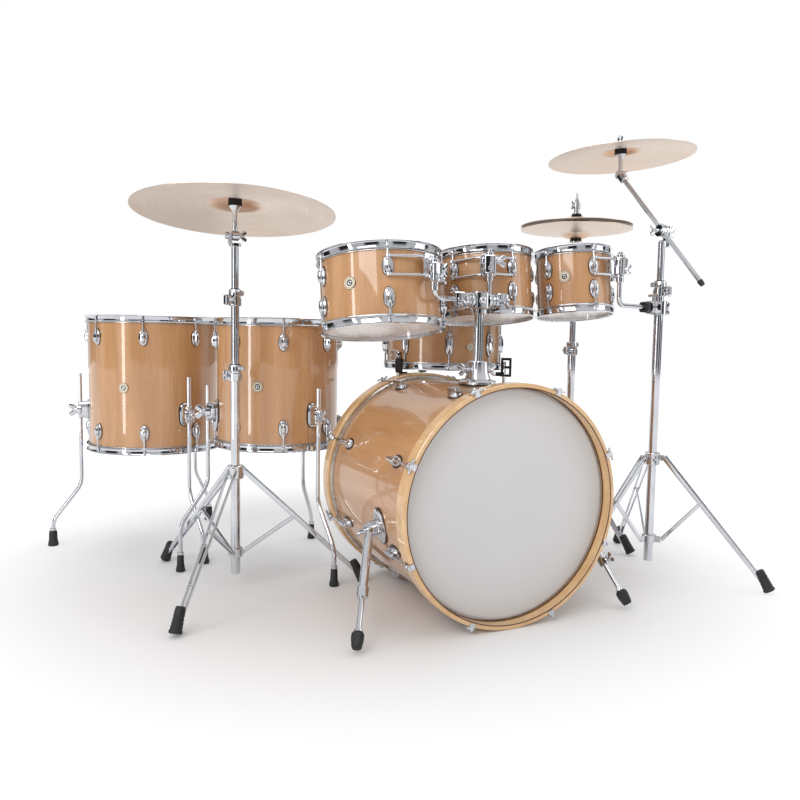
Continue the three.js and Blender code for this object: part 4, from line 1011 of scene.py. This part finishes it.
# ---------- cymbals ----------
# Bell bronze turned thin on a lathe: a shallow bow falls from a raised bell to the edge, and the tool
# leaves fine rings round the bow. Each rests between two felts on a threaded rod under a wing nut.


def lathed_bronze(name, dark, light, bell):
    """Bronze with turning marks that read the attribute reach: 0 at the centre, 1 at the edge; the bell carries a
    painted orange-brown highlight.
    """
    material, nodes, links, shader, vector = blank_material(name)
    reach = nodes.new("ShaderNodeAttribute")
    reach.attribute_name = "reach"
    spread_out = nodes.new("ShaderNodeCombineXYZ")
    links.new(reach.outputs["Fac"], spread_out.inputs["X"])
    bands = add_uneven(nodes, links, spread_out.outputs["Vector"], 26.0, 0.0, 1.0)
    marks = add_uneven(nodes, links, spread_out.outputs["Vector"], 150.0, 0.0, 1.0)
    tone = nodes.new("ShaderNodeMix")
    tone.data_type = "RGBA"
    tone.inputs["A"].default_value, tone.inputs["B"].default_value = dark, light
    links.new(bands, tone.inputs["Factor"])
    # Painted highlight: inside the bell the colour is pulled towards an orange-brown tone.
    bell_or_bow = nodes.new("ShaderNodeMapRange")
    for label, value in (("From Min", 0.20), ("From Max", 0.30), ("To Min", 0.55), ("To Max", 0.0)):
        bell_or_bow.inputs[label].default_value = value
    links.new(reach.outputs["Fac"], bell_or_bow.inputs["Value"])
    painted_bell_highlight = nodes.new("ShaderNodeMix")
    painted_bell_highlight.data_type = "RGBA"
    painted_bell_highlight.inputs["B"].default_value = bell
    links.new(bell_or_bow.outputs["Result"], painted_bell_highlight.inputs["Factor"])
    links.new(tone.outputs["Result"], painted_bell_highlight.inputs["A"])
    links.new(painted_bell_highlight.outputs["Result"], shader.inputs["Base Color"])
    links.new(add_uneven(nodes, links, vector, 7.0, 0.30, 0.40), shader.inputs["Roughness"])
    links.new(add_bump(nodes, links, marks, 0.22, 0.0004), shader.inputs["Normal"])
    shader.inputs["Metallic"].default_value = 0.9
    return material


# The last colour is the painted orange-brown highlight of the bell.
bronze = lathed_bronze("lathed_bronze", srgb(210, 191, 175), srgb(222, 206, 193), srgb(210, 148, 92))


def cymbal(name, at, axis, radius, bow, bell_radius, bell_height, body, node):
    """Bow height bow * (1 - t^1.5) outside the bell, and bell_height * cos(90 deg * t^1.5) added inside it."""
    t = np.linspace(0, 1, 9)
    bell = np.stack([6 + (bell_radius - 6) * t, bow + bell_height * np.cos(np.pi / 2 * t ** 1.5)], -1)
    t = np.linspace(0, 1, 14)[1:]
    rim = np.stack([bell_radius + (radius - bell_radius) * t, bow * (1 - t ** 1.5)], -1)
    top = np.concatenate([bell, rim])
    under = top[::-1] - (0, 1.3)
    place = stand(at, axis)
    plate = piece(name, [turned(np.concatenate([top, under, top[:1]]), place, 144)], bronze, body,
        [node], 40)
    points = np.empty(len(plate.data.vertices) * 3)
    plate.data.vertices.foreach_get("co", points)
    local = (points.reshape(-1, 3) - ZERO) * MM - place[:3, 3]
    along = local @ place[:3, 2]
    reach = np.sqrt(np.maximum((local ** 2).sum(1) - along ** 2, 0)) / radius
    plate.data.attributes.new("reach", "FLOAT", "POINT").data.foreach_set("value", reach.astype(np.float32))


def felt_stack(name, at, axis, hole, body):
    """Lower felt under the bell, upper felt over it."""
    place = stand(at, axis)
    felts = [turned([(4, a), (r - 1.6, a), (r, a + 1.6), (r, b - 1.6), (r - 1.6, b), (4, b), (4, a)], place, 28)
             for a, b, r in ((hole - 22, hole - 1.8, 18), (hole + 1, hole + 13, 14))]
    piece(name, felts, black_felt, body)


def cymbal_post(hinge, at, axis, hole, face):
    """Tilter barrel, ratchet discs, threaded rod, cup washer and wing nut under and over a cymbal."""
    up = np.array(axis, float) / np.linalg.norm(axis)
    at = np.array(at, float)
    along = np.array(face, float)
    threads = [bar(at + up * (hole + z), at + up * (hole + z + 0.9), 3.9, None, 16, 0.2) for z in np.arange(26,
        34, 1.5)]
    return [bar(hinge - along * 9, hinge + along * 9, 13, None, 32),
        bar(hinge + along * 9, hinge + along * 12, 10, None, 28),
            *wing_nut(hinge + along * 12, along, (0, 0, 1), 0.9), bar(hinge, at + up * (hole - 30), 6.4),
            bar(at + up * (hole - 34), at + up * (hole - 22), 8, 16, 28),
            bar(at + up * (hole - 20), at + up * (hole + 34), 3.4, None, 14),
            *threads, bar(at + up * (hole + 13), at + up * (hole + 15), 11, None, 24),
            *wing_nut(at + up * (hole + 14), up, np.cross(up, along), 0.82)]


def axis_of(name):
    """Direction in which a joint of the frame turns."""
    return np.array(next(joint for joint in frame["joints"] if joint["name"] == name)["axis"], float)


# ---------- ride cymbal and its straight stand ----------
# A heavy 21-inch ride on a straight stand in three telescoping tubes, each held by a clamp.
ride_tilt, ride_at, ride_axis = joint_at("ride_tilt_hinge"), joint_at("ride_spin_axis"), axis_of("ride_spin_axis")
ride_foot = ride_tilt * (1, 1, 0)
RIDE_CLAMPS, RIDE_HOLE = (592.0, 792.0), 39.0
ride_parts = [bar(*upright(ride_foot, 41, RIDE_CLAMPS[0] - 4), 12.6, None, 28),
    *height_clamp(ride_foot, RIDE_CLAMPS[0], 12.6, 150)]
tripod("ride_stand", ride_foot, (-14, -125, 114), 352.0, 326.0, 100.0, ride_parts)
piece("ride_stand_steel", ride_parts, chrome, "base", ["ride_stand"])
piece("ride_middle_steel", [bar(*upright(ride_foot, 421, RIDE_CLAMPS[1] - 4), 10.9, None, 28),
                            *height_clamp(ride_foot, RIDE_CLAMPS[1], 10.9, 195)], chrome, "ride_middle",
      ["ride_middle_tube"])
piece("ride_upper_steel", [bar(*upright(ride_foot, 641, ride_tilt[2] - 20), 9.4, None, 24),
                           block(7, 26, 32, stand(ride_tilt - (13.5, 0, 7)), 1.5, 4),
                           block(30, 26, 9, stand(ride_tilt - (0, 0, 24)), 1.5, 4),
                           bar(ride_tilt - (17, 0, 0), ride_tilt - (25, 0, 0), 10, None, 24)],
      chrome, "ride_upper", ["ride_upper_tube"])
piece("ride_clamp_sleeves", [nylon_ring(ride_foot, RIDE_CLAMPS[0] + 18, 12.6)], black_plastic, "base")
piece("ride_upper_sleeve", [nylon_ring(ride_foot, RIDE_CLAMPS[1] + 18, 10.9)], black_plastic, "ride_middle")
piece("ride_tilter_steel", cymbal_post(ride_tilt, ride_at, ride_axis, RIDE_HOLE, (1, 0, 0)), chrome,
    "ride_tilter",
      ["ride_tilter"])
felt_stack("ride_felts", ride_at, ride_axis, RIDE_HOLE, "ride_tilter")
cymbal("ride_plate", ride_at, ride_axis, 265.0, 22.0, 66.0, 17.0, "ride_cymbal", "ride_cymbal")

# ---------- boom stand with the crash cymbal ----------
# A boom stand whose three legs fold: their collar slides up the base tube while braces hold them. The
# boom arm passes through a ratchet tilter and carries a 17-inch crash; the small tom hangs on the tube.
boom_ratchet = joint_at("boom_tilt_hinge")
crash_at, crash_axis = joint_at("crash_spin_axis"), axis_of("crash_spin_axis")
boom_foot = boom_ratchet * (1, 1, 0)
BOOM_ANGLES, BOOM_FOOT_RADIUS, BOOM_COLLAR_Z, BOOM_BRACE_Z, BOOM_CLAMP_Z = (-56, 64,
    184), 330.0, 352.0, 108.0, 846.0
base_parts = [bar(*upright(boom_foot, 41, BOOM_CLAMP_Z - 4), 12.6, None, 28),
    *height_clamp(boom_foot, BOOM_CLAMP_Z, 12.6, -60),
              collar(boom_foot, BOOM_BRACE_Z, -12, 12, 20, 12)]
base_parts += [block(30, 7, 18, stand(boom_foot + polar(21, angle, BOOM_BRACE_Z), (0, 0, 1), polar(1, angle)),
    1.2, 4)
               for angle in BOOM_ANGLES]
piece("boom_base_steel", base_parts, chrome, "base", ["boom_base_tube"])
piece("boom_clamp_sleeve", [nylon_ring(boom_foot, BOOM_CLAMP_Z + 18, 12.6)], black_plastic, "base")
piece("boom_collar_casting", [collar(boom_foot, BOOM_COLLAR_Z, -22, 14, 22, 13.4),
                              *[block(24, 7, 16,
                              stand(boom_foot + polar(26, angle, BOOM_COLLAR_Z), (0, 0, 1), polar(1, angle)),
                              1.2, 4)
                                for angle in BOOM_ANGLES],
                              *wing_nut(boom_foot + polar(22, -116, BOOM_COLLAR_Z - 4), polar(1, -116),
                              (0, 0, 1), 0.9)],
      chrome, "boom_collar", ["boom_leg_collar"])
for k, angle in enumerate(BOOM_ANGLES, 1):
    side = polar(1, angle + 90)
    top, low = joint_at(f"boom_leg_{k}_hinge"), joint_at(f"boom_brace_{k}_hinge")
    foot = boom_foot + polar(BOOM_FOOT_RADIUS - HAND_WIDTH, angle, 37)
    halfway = top + (foot - top) * (BOOM_COLLAR_Z - BOOM_BRACE_Z) / 2 / (BOOM_COLLAR_Z - 36)
    piece(f"boom_leg_{k}_bars", [*leg_bars(top, foot, side, 8.5)[:3], *leg_bars(top, foot, side, 8.5)[4:],
                                 bar(halfway - side * 11, halfway + side * 11, 3, None, 12)],
          chrome, f"boom_leg_{k}", [f"boom_leg_{k}"])
    piece(f"boom_leg_{k}_rubber", [ribbed_foot(boom_foot, angle, BOOM_FOOT_RADIUS)], black_rubber,
        f"boom_leg_{k}")
    piece(f"boom_brace_{k}_bar",
        [flat_bar(low, halfway - (halfway - low) / np.linalg.norm(halfway - low) * 6, 11, 4.6, side)],
          chrome, f"boom_brace_{k}", [f"boom_brace_{k}"])
piece("boom_upper_steel", [bar(*upright(boom_foot, 621, boom_ratchet[2] - 30), 9.4, None, 24),
                           block(26, 14, 18, stand(boom_ratchet + (6, 0, -36)), 2, 4),
                           block(7, 28, 60, stand(boom_ratchet + (17.5, 0, -16)), 1.5, 3),
                           bar(boom_ratchet + (21, 0, 0), boom_ratchet + (27, 0, 0), 13, None, 28),
                           *wing_nut(boom_ratchet + (27, 0, 0), (1, 0, 0), (0, 0, 1), 1.1)],
      chrome, "boom_upper", ["boom_upper_tube"])
crash_hinge = np.array([crash_at[0], crash_at[1], crash_at[2] - 50])
arm = (crash_hinge - boom_ratchet) / np.linalg.norm(crash_hinge - boom_ratchet)
TAIL, CRASH_HOLE = 212.0, 32.0
arm_parts = [bar(boom_ratchet - arm * TAIL, crash_hinge - arm * 6, 6.6, None, 20),
             *[bar(boom_ratchet + (a, 0, 0), boom_ratchet + (b, 0, 0), r, None, 32)
               for a, b, r in ((-14, -9, 17), (-8, -5, 15.5), (-4, -1, 15.5), (0, 3, 15.5), (4, 12, 17))],
             block(20, 24, 34, stand(boom_ratchet + arm * 4, arm, (1, 0, 0)), 3, 4),
             bar(boom_ratchet - (14, 0, 0), boom_ratchet - (26, 0, 0), 6),
             *wing_nut(boom_ratchet - (24, 0, 0), (-1, 0, 0), (0, 0, 1), 1.0),
             block(22, 22, 30, stand(crash_hinge - arm * 14, arm, (1, 0, 0)), 3, 4),
             *cymbal_post(crash_hinge, crash_at, crash_axis, CRASH_HOLE, (1, 0, 0))]
piece("boom_arm_steel", arm_parts, chrome, "boom_arm", ["boom_arm"])
tail_end = boom_ratchet - arm * TAIL
piece("boom_arm_cap", [bar(tail_end + arm * 14, tail_end - arm * 1, 8, 7, 20)], black_rubber, "boom_arm")
felt_stack("crash_felts", crash_at, crash_axis, CRASH_HOLE, "boom_arm")
cymbal("crash_plate", crash_at, crash_axis, 216.0, 18.0, 52.0, 14.0, "crash_cymbal", "crash_cymbal")

# ---------- small tom's clamp and arm ----------
# A cast clamp round the boom stand's tube, with a nylon jaw and a T handle on top, grips a bent rod that
# carries the small tom; loosening it lets the rod turn and tilt.
clamp_at = joint_at("tom8_swing_hinge")
rod8 = joint_at("tom8_swivel_hinge")
arm_start = np.array([rod8[0], rod8[1], clamp_at[2]])
heading = (arm_start - clamp_at) / np.linalg.norm(arm_start - clamp_at)
across = np.cross((0, 0, 1), heading)
jaw_place = stand(clamp_at, heading, (0, 0, 1))
clamp_parts = [collar(clamp_at, clamp_at[2], -20, 20, 22.5, 13.6),
    block(36, 34, 22, jaw_place @ stand((0, 0, 26)), 3, 4),
               bar(clamp_at + heading * 36, clamp_at + heading * 44, 19, None, 32),
               *[bar(clamp_at + heading * z, clamp_at + heading * (z + 2.2), 18, None, 32) for z in (45, 48.5,
               52, 55.5)],
               bar(clamp_at - heading * 20, clamp_at - heading * 34, 7),
               *wing_nut(clamp_at - heading * 32, -heading, (0, 0, 1), 1.15),
               bar(clamp_at + (0, 0, 18) + heading * 28, clamp_at + (0, 0, 36) + heading * 28, 5),
               bar(clamp_at + (0, 0, 35) + heading * 28 - across * 17,
               clamp_at + (0, 0, 35) + heading * 28 + across * 17, 4.2)]
piece("tom8_clamp_casting", clamp_parts, chrome, "tom8_clamp", ["tom8_clamp"])
piece("tom8_clamp_jaw", [block(30, 30, 20, jaw_place @ stand((0, 0, 72)), 3, 4)], black_plastic, "tom8_clamp")
piece("tom8_l_rod", [bent([clamp_at + heading * 56, arm_start, rod8 + (0, 0, ROD_ABOVE_TOM)], 6.3),
                     bar(rod8 + (0, 0, 2), rod8 + (0, 0, 14), 10, None, 20)], chrome, "tom8_arm",
                     ["tom8_arm"])

# ---------- hi-hat ----------
# Two 14-inch cymbals face each other on one tube. The lower rests on a cup and felt; the upper is clutched
# to a rod that the pedal draws down against a spring.
rod_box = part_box("hihat_rod")
hat = (np.array(rod_box[0] + rod_box[1]) / 2 - ZERO) * MM * (1, 1, 0)
HAT_CLAMP_Z, HAT_SEAT_Z, HAT_RISE, HAT_GAP, HAT_RADIUS, ROD_TOP_Z = 667.0, 1022.0, 29.0, 12.0, 177.8, 1169.0
BELL_TOP = HAT_SEAT_Z + 2 * HAT_RISE + HAT_GAP
PEDAL_ANGLE, HEEL_RADIUS = 128.0, 300.0
lower_tube = [bar(*upright(hat, 41, HAT_CLAMP_Z - 4), 12.6, None, 28),
    *height_clamp(hat, HAT_CLAMP_Z, 12.6, -170),
              bar(*upright(hat, HAT_CLAMP_Z, HAT_SEAT_Z - 34), 9.4, None, 24),
              collar(hat, HAT_SEAT_Z, -36, -12, 13, 5.4), collar(hat, HAT_SEAT_Z, -14, -8, 21, 5.4)]
tripod("hihat_stand", hat, (-52, 68, 188), 215.0, 300.0, 90.0, lower_tube)
pedal_side = polar(1, PEDAL_ANGLE + 90)
for s in (-1, 1):
    near, far = hat + polar(10, PEDAL_ANGLE, 44) + pedal_side * 8 * s, hat + polar(HEEL_RADIUS - 12,
        PEDAL_ANGLE, 9) + pedal_side * 34 * s
    lower_tube.append(bar(near, far, 3.6, None, 14))
heel = stand(hat + polar(HEEL_RADIUS + 3, PEDAL_ANGLE, 4), (0, 0, 1), polar(1, PEDAL_ANGLE))
lower_tube += [block(46, 84, 7.6, heel, 1.6, 6),
    *[block(4, 70, 1.6, heel @ stand((x, 0, 4)), 0.5, 8) for x in (-14, -5, 4, 13)]]
piece("hihat_stand_steel", lower_tube, chrome, "base", ["hihat_stand"])
piece("hihat_seat_felt", [turned([(6, HAT_SEAT_Z - 9), (17, HAT_SEAT_Z - 9), (18.5, HAT_SEAT_Z - 7),
    (18.5, HAT_SEAT_Z - 1.8),
                                  (17, HAT_SEAT_Z - 0.2), (6, HAT_SEAT_Z - 0.2), (6, HAT_SEAT_Z - 9)],
                                  stand(hat), 32)],
      black_felt, "base")
cymbal("hihat_lower_plate", hat + (0, 0, HAT_SEAT_Z + HAT_RISE), (0, 0, -1), HAT_RADIUS, 14.0, 54.0, 15.0,
    "base", "hihat_bottom_cymbal")
cymbal("hihat_upper_plate", hat + (0, 0, BELL_TOP - HAT_RISE), (0, 0, 1), HAT_RADIUS, 14.0, 54.0, 15.0,
    "hihat_rod", "hihat_top_cymbal")
piece("hihat_clutch_felt", [turned([(3.6, BELL_TOP + 0.8), (15, BELL_TOP + 0.8), (16.5, BELL_TOP + 2.4),
    (16.5, BELL_TOP + 7),
                                    (15, BELL_TOP + 8.6), (3.6, BELL_TOP + 8.6), (3.6, BELL_TOP + 0.8)],
                                    stand(hat), 32)],
      black_felt, "hihat_rod")
clutch = [bar(*upright(hat, HAT_CLAMP_Z + 90, ROD_TOP_Z), 3.3, None, 14),
    bar(*upright(hat, BELL_TOP + 8.6, BELL_TOP + 12), 14, None, 28),
          bar(*upright(hat, BELL_TOP + 12, BELL_TOP + 26), 8.5, None, 24),
          bar(*upright(hat, BELL_TOP + 26, BELL_TOP + 46), 10.5, None, 28),
          bar(*upright(hat, BELL_TOP + 46, BELL_TOP + 58), 7.5, 5.5, 24),
          *wing_nut(hat + (-10, 0, BELL_TOP + 36), (-1, -0.3, 0), (0, 0, 1), 0.8)]
piece("hihat_rod_and_clutch", clutch, chrome, "hihat_rod", ["hihat_rod"])
pedal_hinge = joint_at("hihat_pedal_hinge")
toe = hat + polar(36, PEDAL_ANGLE, 84)
tread_up = np.cross(toe - pedal_hinge, pedal_side)
tread_up *= np.sign(tread_up[2])
tread = stand((pedal_hinge + (0, 0, 2) + toe) / 2, tread_up, toe - pedal_hinge)
tread_length = np.linalg.norm(toe - pedal_hinge)
ribs = [block(tread_length - 60, 2.6, 1.8, tread @ stand((0, y, 4.2)), 0.5, 8) for y in np.linspace(-30, 30, 9)]
cast_alloy = coated("satin_cast_alloy", srgb(120, 122, 126), srgb(146, 148, 152), 60.0, (0.3, 0.45), 1.0,
    bump=0.2)
piece("hihat_tread", [block(tread_length, 78, 6.5, tread, 2, 7), *ribs], cast_alloy, "hihat_pedal",
    ["hihat_pedal"])
